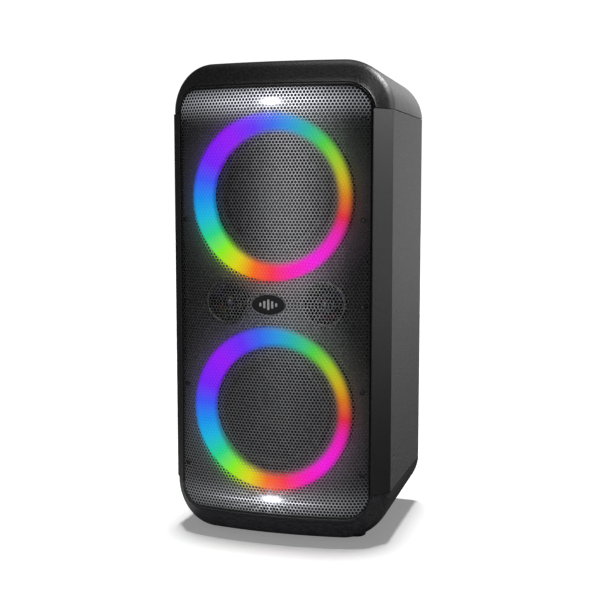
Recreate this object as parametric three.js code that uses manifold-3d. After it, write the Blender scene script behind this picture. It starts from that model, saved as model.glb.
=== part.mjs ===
// Upright party speaker with two woofers behind one curved grille, light rings,
// two tweeters, two strobe lights, a sunken control panel and a sunken input panel.
//
// Millimetres. +X is the speaker's right as seen from the front, +Y its back, +Z up.
// Pieces are drawn about the middle of the cabinet's height, with y = 0 at the line
// where the side panels meet the front bevels, and the whole is then lifted so that
// the origin is on the ground below the middle of the speaker.

import * as THREE from 'three';
import { mergeVertices } from 'three/addons/utils/BufferGeometryUtils.js';
import Module from 'manifold-3d';

const wasm = await Module();
wasm.setup();

// ---- Driving dimensions ----

const HALF_WIDTH = 135;
const HALF_HEIGHT = 279.5;
const CORNER_RADIUS = 55;
const FOOT_STAND = 4.5;
const FRONT_Y = -46.5;
const CAP_REAR_Y = 186;
const PANEL_REAR_Y = 184;
const REAR_DROP = 5;
const REAR_ROUND = 4;
const WALL = 4;
const FIT_GAP = 0.3;
const BADGE_PROUD = 0.6;

const SEAM_Z = 222.7;
const RIDGE_FRONT_Y = -24;
const RIDGE_BOW_RADIUS = 480;
const RIDGE_SIDE_GROWTH = 0.00306;

const GRILLE_HALF_WIDTH = 116.6;
const GRILLE_HALF_HEIGHT = 248.5;
const GRILLE_CORNER = 28;
const GRILLE_BOW_RADIUS = 440;
const GRILLE_SIDE_RADIUS = 91;
const GRILLE_SIDE_X = 85;
const GRILLE_SHEET = 1.2;

const WOOFER_Z = 124;
const TWEETER_X = 59;
const STROBE_Z = 232;
const BAFFLE_FRONT_Y = -20.6;
const BAFFLE_THICK = 10;

const PORT_X = 62;
const PORT_Z = 40;
const HANDLE_Z = 167;
const INPUT_Z = -130;
const INPUT_HALF_WIDTH = 85;
const INPUT_HALF_HEIGHT = 60;
const INPUT_FACE_Y = 173;

const CONTROL_Y = 75;
const CONTROL_HALF_WIDTH = 95;
const CONTROL_HALF_DEPTH = 35;
const CONTROL_FACE_Z = 265;

const RING_SEGMENTS = 32;
const DRIVER_SEGMENTS = 20;
const SMALL_SEGMENTS = 16;

// ---- Finishes ----

const finish = (color, roughness, metalness = 0) =>
  new THREE.MeshStandardMaterial({ color, roughness, metalness });

const finishes = {
  cap: finish(0x242428, 0.42),
  side: finish(0x58585a, 0.7),
  strip: finish(0x303032, 0.55),
  grille: finish(0x6a6a6c, 0.5, 0.6),
  baffle: finish(0x101012, 0.8),
  light: finish(0x8a5cff, 0.3),
  lens: finish(0xe8ecf4, 0.15),
  cone: finish(0x1a1a1c, 0.75),
  rubber: finish(0x141414, 0.9),
  steel: finish(0x8a8c90, 0.4, 1),
  ferrite: finish(0x2b2b2e, 0.8),
  board: finish(0x1f5a34, 0.6),
  panel: finish(0x1c1c1e, 0.5),
  button: finish(0x2c2c2e, 0.6),
  aluminium: finish(0xb4b6ba, 0.35, 1),
  copper: finish(0xb8733a, 0.4, 1),
  cell: finish(0x2f5fa8, 0.6),
};

// ---- Solids ----

// Welds a geometry, drops triangles with no area and turns its faces outwards.
function welded(geometry) {
  const bare = geometry.clone();
  bare.deleteAttribute('normal');
  bare.deleteAttribute('uv');
  const merged = mergeVertices(bare, 1e-4);
  const position = merged.attributes.position;
  const source = merged.index.array;
  const corners = [new THREE.Vector3(), new THREE.Vector3(), new THREE.Vector3()];
  let triangles = [];
  let volume = 0;
  for (let i = 0; i < source.length; i += 3) {
    const [a, b, c] = [source[i], source[i + 1], source[i + 2]];
    if (a === b || b === c || c === a) continue;
    triangles.push([a, b, c]);
    [a, b, c].forEach((index, k) => corners[k].fromBufferAttribute(position, index));
    volume += corners[0].dot(corners[1].cross(corners[2]));
  }
  if (volume < 0) triangles = triangles.map(([a, b, c]) => [a, c, b]);
  const result = new THREE.BufferGeometry();
  result.setAttribute('position', position);
  result.setIndex(triangles.flat());
  return result;
}

function solid(geometry) {
  const closed = welded(geometry);
  const vertProperties = Float32Array.from(closed.attributes.position.array);
  const triVerts = Uint32Array.from(closed.index.array);
  return new wasm.Manifold(new wasm.Mesh({ numProp: 3, vertProperties, triVerts }));
}

function geometryOf(body) {
  const { vertProperties, triVerts } = body.getMesh();
  const geometry = new THREE.BufferGeometry();
  geometry.setAttribute('position', new THREE.BufferAttribute(vertProperties, 3));
  geometry.setIndex(new THREE.BufferAttribute(triVerts, 1));
  return geometry;
}

const joined = (bodies) => bodies.reduce((whole, body) => whole.add(body));
const cut = (body, tools) => tools.reduce((rest, tool) => rest.subtract(tool), body);

// A box between two corners.
function block(low, high) {
  const size = low.map((value, i) => high[i] - value);
  const geometry = new THREE.BoxGeometry(...size);
  geometry.translate(...low.map((value, i) => (value + high[i]) / 2));
  return solid(geometry);
}

// A flat outline in X and Z, extruded along Y from y0 to y1.
function slabAlongY(points, y0, y1) {
  const geometry = new THREE.ExtrudeGeometry(new THREE.Shape(points), {
    depth: y1 - y0,
    bevelEnabled: false,
  });
  geometry.rotateX(Math.PI / 2);
  geometry.translate(0, y1, 0);
  return solid(geometry);
}

// A flat outline in X and Y, extruded upwards from z0 to z1.
function slabAlongZ(points, z0, z1) {
  const geometry = new THREE.ExtrudeGeometry(new THREE.Shape(points), {
    depth: z1 - z0,
    bevelEnabled: false,
  });
  geometry.translate(0, 0, z0);
  return solid(geometry);
}

// A flat outline in Y and Z, extruded along X from x0 to x1.
function slabAlongX(points, x0, x1) {
  const geometry = new THREE.ExtrudeGeometry(new THREE.Shape(points), {
    depth: x1 - x0,
    bevelEnabled: false,
  });
  geometry.rotateX(Math.PI / 2);
  geometry.rotateZ(Math.PI / 2);
  geometry.translate(x0, 0, 0);
  return solid(geometry);
}

// A profile of [radius, y] points turned about the Y axis and moved to (x, z).
function turnedAlongY(profile, x, z, segments = DRIVER_SEGMENTS) {
  const points = profile.map(([radius, y]) => new THREE.Vector2(radius, y));
  const geometry = new THREE.LatheGeometry(points, segments);
  geometry.translate(x, 0, z);
  return solid(geometry);
}

// A profile of [radius, z] points turned about the Z axis and moved to (x, y).
function turnedAlongZ(profile, x, y, segments = SMALL_SEGMENTS) {
  const points = profile.map(([radius, z]) => new THREE.Vector2(radius, z));
  const geometry = new THREE.LatheGeometry(points, segments);
  geometry.rotateX(Math.PI / 2);
  geometry.translate(x, y, 0);
  return solid(geometry);
}

const disc = (radius, y0, y1) => [[0, y0], [radius, y0], [radius, y1], [0, y1]];
const ring = (inner, outer, y0, y1) => [
  [inner, y0], [outer, y0], [outer, y1], [inner, y1], [inner, y0],
];

// ---- Outlines ----

// Points of a rounded rectangle, anticlockwise from the right side, with its top and
// bottom edges cut into equal steps so that they can follow the bowed front.
function roundedOutline(halfWidth, halfHeight, radius, cornerSteps = 6, edgeSteps = 8) {
  const points = [];
  const corners = [[1, 1], [-1, 1], [-1, -1], [1, -1]];
  corners.forEach(([sideX, sideY], quarter) => {
    const centre = [sideX * (halfWidth - radius), sideY * (halfHeight - radius)];
    for (let step = 0; step <= cornerSteps; step += 1) {
      const angle = (quarter + step / cornerSteps) * Math.PI / 2;
      const x = centre[0] + radius * Math.cos(angle);
      points.push(new THREE.Vector2(x, centre[1] + radius * Math.sin(angle)));
    }
    if (quarter % 2 === 0) {
      for (let step = 1; step < edgeSteps; step += 1) {
        const x = centre[0] * (1 - 2 * step / edgeSteps);
        points.push(new THREE.Vector2(x, sideY * halfHeight));
      }
    }
  });
  return points;
}

const moved = (points, x, y) => points.map((point) => new THREE.Vector2(point.x + x, point.y + y));

// Depth of the grille's front face at a distance x from the middle: a wide arc that
// turns into a tighter one towards the sides.
function grilleY(x) {
  const across = Math.abs(x);
  const wideRise = (reach) =>
    GRILLE_BOW_RADIUS - Math.sqrt(GRILLE_BOW_RADIUS ** 2 - reach ** 2);
  if (across <= GRILLE_SIDE_X) return FRONT_Y + wideRise(across);
  const slope = Math.asin(GRILLE_SIDE_X / GRILLE_BOW_RADIUS);
  const centreX = GRILLE_SIDE_X - GRILLE_SIDE_RADIUS * Math.sin(slope);
  const reach = across - centreX;
  const drop = GRILLE_SIDE_RADIUS * Math.cos(slope) - Math.sqrt(GRILLE_SIDE_RADIUS ** 2 - reach ** 2);
  return FRONT_Y + wideRise(GRILLE_SIDE_X) + drop;
}

// Depth of the cabinet's outer front edge, which is bowed the same way.
function ridgeY(x) {
  const across = Math.abs(x);
  const inner = Math.min(across, GRILLE_SIDE_X);
  const beyond = across - inner;
  const slope = inner / RIDGE_BOW_RADIUS;
  return RIDGE_FRONT_Y + inner * slope / 2 + beyond * slope + RIDGE_SIDE_GROWTH * beyond ** 2;
}

// ---- The cabinet's skin ----

// A closed surface through rings of points that all have the same count.
function loft(rings) {
  const count = rings[0].length;
  const positions = rings.flat().flatMap((point) => point.toArray());
  const index = [];
  for (let level = 0; level < rings.length - 1; level += 1) {
    for (let i = 0; i < count; i += 1) {
      const next = (i + 1) % count;
      const [a, b] = [level * count + i, level * count + next];
      index.push(a, b, b + count, a, b + count, a + count);
    }
  }
  [0, rings.length - 1].forEach((level) => {
    const middle = positions.length / 3;
    const centre = rings[level].reduce((sum, point) => sum.add(point), new THREE.Vector3());
    positions.push(...centre.divideScalar(count).toArray());
    for (let i = 0; i < count; i += 1) {
      const pair = [level * count + i, level * count + (i + 1) % count];
      if (level === 0) pair.reverse();
      index.push(middle, ...pair);
    }
  });
  const geometry = new THREE.BufferGeometry();
  geometry.setAttribute('position', new THREE.Float32BufferAttribute(positions, 3));
  geometry.setIndex(index);
  return solid(geometry);
}

const outlineRing = (halfWidth, halfHeight, radius, depthAt) =>
  roundedOutline(halfWidth, halfHeight, radius).map(({ x, y }) => new THREE.Vector3(x, depthAt(x), y));

const between = (front, back, share) => front.map((point, i) => point.clone().lerp(back[i], share));

// The filled outer form, or the hollow inside it when inset by a wall. A soft ridge
// rounds the edge between the front bevel and the sides.
function cabinetForm(inset, rearY, softRidge) {
  const opening = outlineRing(
    GRILLE_HALF_WIDTH - inset,
    GRILLE_HALF_HEIGHT - inset,
    GRILLE_CORNER - inset,
    (x) => grilleY(x) + inset * 1.2,
  );
  const full = (shrink, drop, depthAt) => outlineRing(
    HALF_WIDTH - inset - shrink,
    HALF_HEIGHT - inset - shrink - drop,
    CORNER_RADIUS - inset - shrink,
    depthAt,
  );
  const ridge = full(0, 0, (x) => ridgeY(x) + inset * 0.6);
  const rings = [opening];
  if (softRidge) {
    const behind = full(0, 0, (x) => ridgeY(x) + inset * 0.6 + 9);
    rings.push(between(opening, ridge, 0.8));
    rings.push(between(between(opening, ridge, 0.94), behind, 0.2));
    rings.push(behind);
  } else {
    rings.push(ridge);
  }
  if (inset > 0) {
    rings.push(full(0, REAR_DROP, () => rearY - inset));
  } else {
    rings.push(full(0, REAR_DROP, () => rearY - REAR_ROUND));
    rings.push(full(REAR_ROUND * 0.3, REAR_DROP, () => rearY - REAR_ROUND * 0.3));
    rings.push(full(REAR_ROUND, REAR_DROP, () => rearY));
  }
  return loft(rings);
}

const grilleOpening = slabAlongY(
  roundedOutline(GRILLE_HALF_WIDTH, GRILLE_HALF_HEIGHT, GRILLE_CORNER),
  -80,
  -10,
);

const cabinetSkin = (rearY, softRidge) =>
  cabinetForm(0, rearY, softRidge).subtract(cabinetForm(WALL, rearY, softRidge)).subtract(grilleOpening);

const capSkin = cabinetSkin(CAP_REAR_Y, true);
const middleSkin = cabinetSkin(PANEL_REAR_Y, false);
const FAR = 400;
const middleTop = SEAM_Z - FIT_GAP;

const controlOutline = (grow) => moved(
  roundedOutline(CONTROL_HALF_WIDTH + grow, CONTROL_HALF_DEPTH + grow, 12 + grow, 4, 1),
  0,
  CONTROL_Y,
);

function topCap() {
  const shell = capSkin.intersect(block([-FAR, -FAR, SEAM_Z], [FAR, FAR, FAR]));
  const collarFoot = CONTROL_FACE_Z - 6;
  const collar = slabAlongZ(controlOutline(3), collarFoot, FAR)
    .intersect(cabinetForm(0, CAP_REAR_Y, true));
  return shell.add(collar).subtract(slabAlongZ(controlOutline(0), collarFoot - 1, FAR));
}

const bottomCap = () => capSkin.intersect(block([-FAR, -FAR, -FAR], [FAR, FAR, -SEAM_Z]));

function frontStrip(side) {
  const reach = [side * 60, side * FAR].sort((a, b) => a - b);
  const zone = block([reach[0], -FAR, -middleTop], [reach[1], -FIT_GAP / 2, middleTop]);
  return middleSkin.intersect(zone);
}

const BACK_HALF_WIDTH = 122;
const BACK_RETURN_Y = PANEL_REAR_Y - WALL - 3;

function sidePanel(side) {
  const reach = [side * 60, side * FAR].sort((a, b) => a - b);
  const zone = block([reach[0], FIT_GAP / 2, -middleTop], [reach[1], FAR, middleTop]);
  const backHole = block(
    [-BACK_HALF_WIDTH - FIT_GAP, BACK_RETURN_Y, -FAR],
    [BACK_HALF_WIDTH + FIT_GAP, FAR, FAR],
  );
  return middleSkin.intersect(zone).subtract(backHole);
}

// ---- Back panel and its fittings ----

const handleOutline = (grow) =>
  moved(roundedOutline(70 + grow, 33 + grow, 10 + grow, 3, 1), 0, HANDLE_Z);
const inputOutline = (grow) => moved(
  roundedOutline(INPUT_HALF_WIDTH + grow, INPUT_HALF_HEIGHT + grow, 8 + grow, 3, 1),
  0,
  INPUT_Z,
);
const portPlaces = [[-PORT_X, PORT_Z], [PORT_X, PORT_Z]];

function backPanel() {
  const plate = block(
    [-BACK_HALF_WIDTH, PANEL_REAR_Y - WALL, -middleTop],
    [BACK_HALF_WIDTH, PANEL_REAR_Y, middleTop],
  );
  const collar = slabAlongY(inputOutline(3), INPUT_FACE_Y - 6, PANEL_REAR_Y);
  return cut(plate.add(collar), [
    slabAlongY(inputOutline(0), 0, FAR),
    slabAlongY(handleOutline(0), 0, FAR),
    ...portPlaces.map(([x, z]) => turnedAlongY(disc(27, 100, FAR), x, z, DRIVER_SEGMENTS)),
  ]);
}

const HANDLE_CUP_Y = 140;

function handleCup() {
  const outer = slabAlongY(handleOutline(3), HANDLE_CUP_Y, PANEL_REAR_Y - WALL - FIT_GAP);
  return outer.subtract(slabAlongY(handleOutline(0), HANDLE_CUP_Y + 3, FAR));
}

// The grip bar fills the top of the cup, with room for fingers below and behind it.
function carryHandle() {
  const section = moved(roundedOutline(8.5, 12, 6, 3, 1), PANEL_REAR_Y - 9, HANDLE_Z + 14);
  return slabAlongX(section, -80, 80).intersect(slabAlongY(handleOutline(-FIT_GAP), 0, FAR));
}

function bassPort(x, z) {
  return turnedAlongY([
    [23.5, 96], [26, 96], [26, PANEL_REAR_Y + FIT_GAP], [31, PANEL_REAR_Y + FIT_GAP],
    [30.5, CAP_REAR_Y], [27, CAP_REAR_Y], [24, 182], [23.5, 96],
  ], x, z, 20);
}

const ROCKER = [-64, INPUT_Z - 32];
const INLET = [58, INPUT_Z - 34];
const USB = [0, INPUT_Z - 34];
const AUX = [26, INPUT_Z - 34];
const JACKS = [[-52, INPUT_Z + 28], [-18, INPUT_Z + 28]];
const MIC_KNOBS = [[22, INPUT_Z + 28], [54, INPUT_Z + 28]];
const PANEL_SHEET = 3;
const PANEL_BACK_Y = INPUT_FACE_Y - PANEL_SHEET;

const window = ([x, z], halfWidth, halfHeight) =>
  block([x - halfWidth, 100, z - halfHeight], [x + halfWidth, FAR, z + halfHeight]);

function inputPanel() {
  const plate = slabAlongY(inputOutline(-FIT_GAP), PANEL_BACK_Y, INPUT_FACE_Y);
  const bore = (radius) => ([x, z]) => turnedAlongY(disc(radius, 100, FAR), x, z, SMALL_SEGMENTS);
  return cut(plate, [
    window(ROCKER, 6.9, 9.2),
    window(INLET, 12.3, 7.3),
    window(USB, 8.3, 4.6),
    bore(2)(AUX),
    ...JACKS.map(bore(7.3)),
    ...MIC_KNOBS.map(bore(3.4)),
  ]);
}

// A socket body with a blind slot open to the back.
function slottedSocket([x, z], halfWidth, halfHeight, wall, depth) {
  const body = block(
    [x - halfWidth, PANEL_BACK_Y - depth, z - halfHeight],
    [x + halfWidth, INPUT_FACE_Y + 1.5, z + halfHeight],
  );
  const slot = block(
    [x - halfWidth + wall, PANEL_BACK_Y - depth + wall, z - halfHeight + wall],
    [x + halfWidth - wall, FAR, z + halfHeight - wall],
  );
  return body.subtract(slot);
}

const jackSleeve = ([x, z]) =>
  turnedAlongY(
    [[0, 152], [7, 152], [7, INPUT_FACE_Y + 2], [3.3, INPUT_FACE_Y + 2], [3.3, 155], [0, 155]],
    x,
    z,
    SMALL_SEGMENTS,
  );

// A turning knob on a thin shaft that passes through the input panel.
const micKnob = ([x, z]) =>
  turnedAlongY(
    [
      [0, 160], [3, 160], [3, INPUT_FACE_Y + 0.5], [8, INPUT_FACE_Y + 0.5],
      [7.4, PANEL_REAR_Y - 1], [0, PANEL_REAR_Y - 1],
    ],
    x,
    z,
    SMALL_SEGMENTS,
  );

const ROCKER_TILT = 12;

// The rocker rests in its off position, with its upper half pressed in.
function powerRocker() {
  const face = [[-5, -6], [3.2, -7.4], [1.8, 0], [3.2, 7.4], [-5, 6]];
  return slabAlongX(face.map(([y, z]) => new THREE.Vector2(y, z)), -6.3, 6.3);
}

// ---- Front: baffle, grille, badge, strobes ----

function frontBaffle() {
  const plate = slabAlongY(roundedOutline(110, 241, 24, 4, 1), BAFFLE_FRONT_Y, BAFFLE_FRONT_Y + BAFFLE_THICK);
  const hole = (radius, x, z, segments) => turnedAlongY(disc(radius, -60, 60), x, z, segments);
  return cut(plate, [
    hole(75, 0, WOOFER_Z, DRIVER_SEGMENTS),
    hole(75, 0, -WOOFER_Z, DRIVER_SEGMENTS),
    hole(24.5, TWEETER_X, 0, SMALL_SEGMENTS),
    hole(24.5, -TWEETER_X, 0, SMALL_SEGMENTS),
  ]);
}

// A bowed sheet between two offsets behind the grille's front face.
function bowedSheet(near, far, halfWidth, halfHeight, steps) {
  const across = Array.from({ length: steps + 1 }, (_, i) => halfWidth * (2 * i / steps - 1));
  const front = across.map((x) => new THREE.Vector2(x, grilleY(x) + near));
  const back = across.map((x) => new THREE.Vector2(x, grilleY(x) + far)).reverse();
  return slabAlongZ([...front, ...back], -halfHeight, halfHeight);
}

function frontGrille() {
  const halfWidth = GRILLE_HALF_WIDTH - FIT_GAP * 2;
  const halfHeight = GRILLE_HALF_HEIGHT - FIT_GAP * 2;
  const outline = slabAlongY(roundedOutline(halfWidth, halfHeight, GRILLE_CORNER - FIT_GAP * 2, 5, 1), -60, 0);
  return bowedSheet(0.4, 0.4 + GRILLE_SHEET, halfWidth + 1, halfHeight + 1, 20).intersect(outline);
}

function badge() {
  const oval = new THREE.EllipseCurve(0, 0, 21.2, 12.75).getPoints(SMALL_SEGMENTS + 4).slice(0, -1);
  return slabAlongY(oval, FRONT_Y - BADGE_PROUD, FRONT_Y + FIT_GAP)
    .subtract(bowedSheet(0.1, 6, 60, 30, 12));
}

const strobeLens = (z) => {
  const outline = moved(roundedOutline(22, 6, 3, 3, 1), 0, z);
  return slabAlongY(outline, -36, BAFFLE_FRONT_Y - FIT_GAP);
};

// ---- Woofers ----

const CONE_EDGE = 58;
const FLANGE_INNER = 70.5;
const RING_INNER = 77.5;
const RING_OUTER = 96.5;

function basket(z) {
  const shell = turnedAlongY([
    [84, -23.7], [FLANGE_INNER, -23.7], [FLANGE_INNER, -18], [46, 28], [18, 28], [18, 31],
    [48.5, 31], [73.5, -20.9], [84, -20.9], [84, -23.7],
  ], 0, z);
  const windows = [0, 1, 2, 3].map((quarter) => {
    const slot = new THREE.BoxGeometry(40, 26, 80);
    slot.translate(0, 3, 62);
    slot.rotateY(quarter * Math.PI / 2 + Math.PI / 4);
    slot.translate(0, 0, z);
    return solid(slot);
  });
  return cut(shell, windows);
}

const magnet = (z) => turnedAlongY(ring(16, 46, 31.3, 49.3), 0, z);

const yoke = (z) => turnedAlongY(
  [[0, 24], [12, 24], [12, 49.6], [48, 49.6], [48, 55], [0, 55]],
  0,
  z,
);

const voiceCoil = (z) => turnedAlongY(ring(13, 14.2, 6, 40), 0, z);

function spider(z) {
  const waves = [[14.8, 8], [24, 11], [34, 7.5], [44, 11], [54.6, 9]];
  const back = waves.map(([radius, y]) => [radius, y + 0.8]).reverse();
  return turnedAlongY([...waves, ...back, waves[0]], 0, z);
}

function surround(z) {
  const middle = (CONE_EDGE + FLANGE_INNER) / 2;
  const reach = (FLANGE_INNER - CONE_EDGE) / 2 - FIT_GAP;
  const arc = (radius) => [0, 1, 2, 3, 4].map((step) => {
    const angle = Math.PI * (1 - step / 4);
    return [middle + radius * Math.cos(angle), -22.2 - radius * Math.sin(angle)];
  });
  const outer = arc(reach);
  return turnedAlongY([...outer, ...arc(reach - 0.9).reverse(), outer[0]], 0, z);
}

// Paper cone with its dust cap, hollow behind the cap.
const cone = (z) => turnedAlongY([
  [0, -12], [14, -9.4], [26, -2.65], [CONE_EDGE, -22], [CONE_EDGE, -20.4], [15.4, 5.4],
  [14.4, 5.4], [14.4, 4.4], [23.5, -1.2], [13, -8], [0, -10.4],
], 0, z);

const lightRing = (z) => turnedAlongY([
  [RING_OUTER, -26], [RING_OUTER, -31], [95, -32.5], [79, -32.5], [RING_INNER, -31],
  [RING_INNER, -26], [RING_OUTER, -26],
], 0, z, RING_SEGMENTS);

const lightBoard = (z) => turnedAlongY(ring(79, 95, -25.6, -24), 0, z, RING_SEGMENTS);

// ---- Tweeters ----

const tweeterHorn = (x) => turnedAlongY([
  [0, -2], [20, -2], [20, -18], [24, -20.9], [27.5, -20.9], [27.5, -23.4], [25, -24],
  [12, -15], [9, -13], [9, -8], [0, -8],
], x, 0, 20);

const tweeterDome = (x) => turnedAlongY(
  [[0, -17.5], [4.2, -16.4], [7, -13.6], [8.4, -11], [8.4, -8.4], [0, -8.4]],
  x,
  0,
  SMALL_SEGMENTS,
);

// ---- Top controls ----

const KNOB_X = -62;
const BUTTON_X = [-22, 2, 26, 50, 74];
const BUTTON_RADIUS = 8;

function controlPanel() {
  const plate = slabAlongZ(controlOutline(-FIT_GAP), CONTROL_FACE_Z - 3, CONTROL_FACE_Z);
  const hole = (radius) => (x) => turnedAlongZ(disc(radius, 200, FAR), x, CONTROL_Y);
  return cut(plate, [hole(3.6)(KNOB_X), ...BUTTON_X.map(hole(BUTTON_RADIUS + 0.4))]);
}

const volumeKnob = () => turnedAlongZ([
  [0, 250], [3.2, 250], [3.2, CONTROL_FACE_Z + 0.5], [19, CONTROL_FACE_Z + 0.5], [19, 270],
  [17.6, 275.5], [0, 275.5],
], KNOB_X, CONTROL_Y, 24);

const button = (x) => turnedAlongZ([
  [0, 256], [9.6, 256], [9.6, 258.6], [BUTTON_RADIUS, 258.6], [BUTTON_RADIUS, 266.8],
  [7.2, 267.5], [0, 267.5],
], x, CONTROL_Y);

// ---- Inside ----

const amplifierBoard = () => block([-80, 120, INPUT_Z - 54], [80, 121.6, INPUT_Z + 54]);

function heatSink() {
  const base = block([-70, 122, INPUT_Z - 8], [70, 125, INPUT_Z + 8]);
  const fins = [-63, -45, -27, -9, 9, 27, 45, 63].map((x) =>
    block([x - 1.2, 124, INPUT_Z - 8], [x + 1.2, 144, INPUT_Z + 8]));
  return joined([base, ...fins]);
}

const batteryPack = () => slabAlongZ(
  moved(roundedOutline(62, 24, 10, 3, 1), 0, 100),
  -270,
  -230,
);

// Depth below the middle of the cabinet's underside, which slopes up to the rear.
const undersideZ = (y) => -HALF_HEIGHT + REAR_DROP * Math.max(y, 0) / (CAP_REAR_Y - REAR_ROUND);

function foot(x, y) {
  const ground = -HALF_HEIGHT - FOOT_STAND;
  const top = undersideZ(y - 12) - FIT_GAP;
  return turnedAlongZ([[0, ground], [11.5, ground], [12.5, ground + 1.2], [12.5, top], [0, top]], x, y);
}

// ---- Assembly ----

const speaker = new THREE.Group();
speaker.position.set(0, -(FRONT_Y - BADGE_PROUD + CAP_REAR_Y) / 2, HALF_HEIGHT + FOOT_STAND);

function place(name, body, material) {
  const mesh = new THREE.Mesh(geometryOf(body), finishes[material]);
  mesh.name = name;
  speaker.add(mesh);
  return mesh;
}

place('top_cap', topCap(), 'cap');
place('bottom_cap', bottomCap(), 'cap');
[['right', 1], ['left', -1]].forEach(([name, side]) => {
  place(`${name}_side_panel`, sidePanel(side), 'side');
  place(`${name}_front_strip`, frontStrip(side), 'strip');
});
place('back_panel', backPanel(), 'side');
place('front_baffle', frontBaffle(), 'baffle');
place('front_grille', frontGrille(), 'grille');
place('badge', badge(), 'panel');

[['upper', 1], ['lower', -1]].forEach(([name, side]) => {
  const z = side * WOOFER_Z;
  place(`${name}_strobe_lens`, strobeLens(side * STROBE_Z), 'lens');
  place(`${name}_light_ring`, lightRing(z), 'light');
  place(`${name}_light_board`, lightBoard(z), 'board');
  place(`${name}_woofer_basket`, basket(z), 'steel');
  place(`${name}_woofer_magnet`, magnet(z), 'ferrite');
  place(`${name}_woofer_yoke`, yoke(z), 'steel');
  place(`${name}_woofer_spider`, spider(z), 'cone');
  place(`${name}_woofer_surround`, surround(z), 'rubber');
  place(`${name}_woofer_cone`, cone(z), 'cone');
  place(`${name}_woofer_voice_coil`, voiceCoil(z), 'copper');
});

[['right', 1], ['left', -1]].forEach(([name, side]) => {
  place(`${name}_tweeter_horn`, tweeterHorn(side * TWEETER_X), 'panel');
  place(`${name}_tweeter_dome`, tweeterDome(side * TWEETER_X), 'aluminium');
});

place('handle_cup', handleCup(), 'panel');
place('carry_handle', carryHandle(), 'strip');
portPlaces.forEach(([x, z]) => place(x > 0 ? 'right_bass_port' : 'left_bass_port', bassPort(x, z), 'panel'));

place('input_panel', inputPanel(), 'panel');
place('mains_inlet', slottedSocket(INLET, 12, 7, 2.4, 14), 'button');
place('usb_socket', slottedSocket(USB, 8, 4.3, 1.4, 10), 'steel');
JACKS.forEach((spot, i) => place(`microphone_jack_${i + 1}`, jackSleeve(spot), 'steel'));
place('microphone_volume_knob', micKnob(MIC_KNOBS[0]), 'button');
place('microphone_echo_knob', micKnob(MIC_KNOBS[1]), 'button');
const rocker = place('power_rocker', powerRocker(), 'button');
rocker.position.set(ROCKER[0], INPUT_FACE_Y - 1, ROCKER[1]);
rocker.rotation.x = THREE.MathUtils.degToRad(ROCKER_TILT);

place('control_panel', controlPanel(), 'panel');
place('volume_knob', volumeKnob(), 'aluminium');
['power', 'light', 'back', 'play', 'next'].forEach((name, i) =>
  place(`${name}_button`, button(BUTTON_X[i]), 'button'));

place('amplifier_board', amplifierBoard(), 'board');
place('heat_sink', heatSink(), 'aluminium');
place('battery_pack', batteryPack(), 'cell');
[['front', 22], ['rear', 158]].forEach(([row, y]) => {
  place(`${row}_right_foot`, foot(88, y), 'rubber');
  place(`${row}_left_foot`, foot(-88, y), 'rubber');
});

export default speaker;
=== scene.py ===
"""The looks of an upright party speaker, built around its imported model.

Everything here is worked out in millimetres in the model's own frame: +X is the right seen from
the front, +Y the back, +Z up. Meshes turn millimetres to metres as they are made.
"""

import math

import bmesh
import bpy
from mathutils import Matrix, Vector


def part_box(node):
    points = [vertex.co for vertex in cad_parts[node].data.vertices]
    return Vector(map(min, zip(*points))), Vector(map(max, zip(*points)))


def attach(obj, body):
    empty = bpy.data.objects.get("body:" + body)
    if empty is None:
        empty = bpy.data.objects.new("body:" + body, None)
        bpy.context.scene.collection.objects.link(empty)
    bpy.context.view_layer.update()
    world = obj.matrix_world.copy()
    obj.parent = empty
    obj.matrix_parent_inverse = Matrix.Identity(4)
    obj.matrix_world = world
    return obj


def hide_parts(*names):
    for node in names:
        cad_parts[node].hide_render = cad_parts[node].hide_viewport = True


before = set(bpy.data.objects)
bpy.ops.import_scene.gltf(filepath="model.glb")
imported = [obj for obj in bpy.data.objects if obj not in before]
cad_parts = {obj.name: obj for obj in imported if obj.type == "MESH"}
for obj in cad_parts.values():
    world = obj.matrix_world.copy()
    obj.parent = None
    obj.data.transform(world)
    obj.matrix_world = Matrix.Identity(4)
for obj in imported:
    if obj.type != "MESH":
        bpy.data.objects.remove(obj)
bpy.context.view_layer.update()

MM = 0.001


def box(node):
    """Lowest and highest corners of a node, in millimetres."""
    low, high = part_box(node)
    return low / MM, high / MM


def middle(node):
    low, high = box(node)
    return (low + high) / 2


def span(node, axes="xz"):
    """Centre and half sizes of a node along two axes."""
    low, high = box(node)
    ends = [(getattr(low, axis), getattr(high, axis)) for axis in axes]
    return tuple((a + b) / 2 for a, b in ends), tuple((b - a) / 2 for a, b in ends)


# ---- Driving sizes, from the frame where the frame holds them ----

GRILLE_LOW, GRILLE_HIGH = box("front_grille")
CAP_LOW, CAP_HIGH = box("top_cap")
SIDE_LOW, SIDE_HIGH = box("right_side_panel")
STRIP_LOW, STRIP_HIGH = box("right_front_strip")

MID_Z = (GRILLE_LOW.z + GRILLE_HIGH.z) / 2
HALF_WIDTH = SIDE_HIGH.x
HALF_HEIGHT = CAP_HIGH.z - MID_Z
SEAM_Z = CAP_LOW.z - MID_Z
CORNER = 55.0
SIDE_FRONT_Y = SIDE_LOW.y - 0.15
REAR_Y = SIDE_HIGH.y
CAP_REAR_Y = CAP_HIGH.y
REAR_DROP = 5.0
WALL = 3.6
CUP_WALL = 3.0
SEAM_GAP = 0.6

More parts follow.
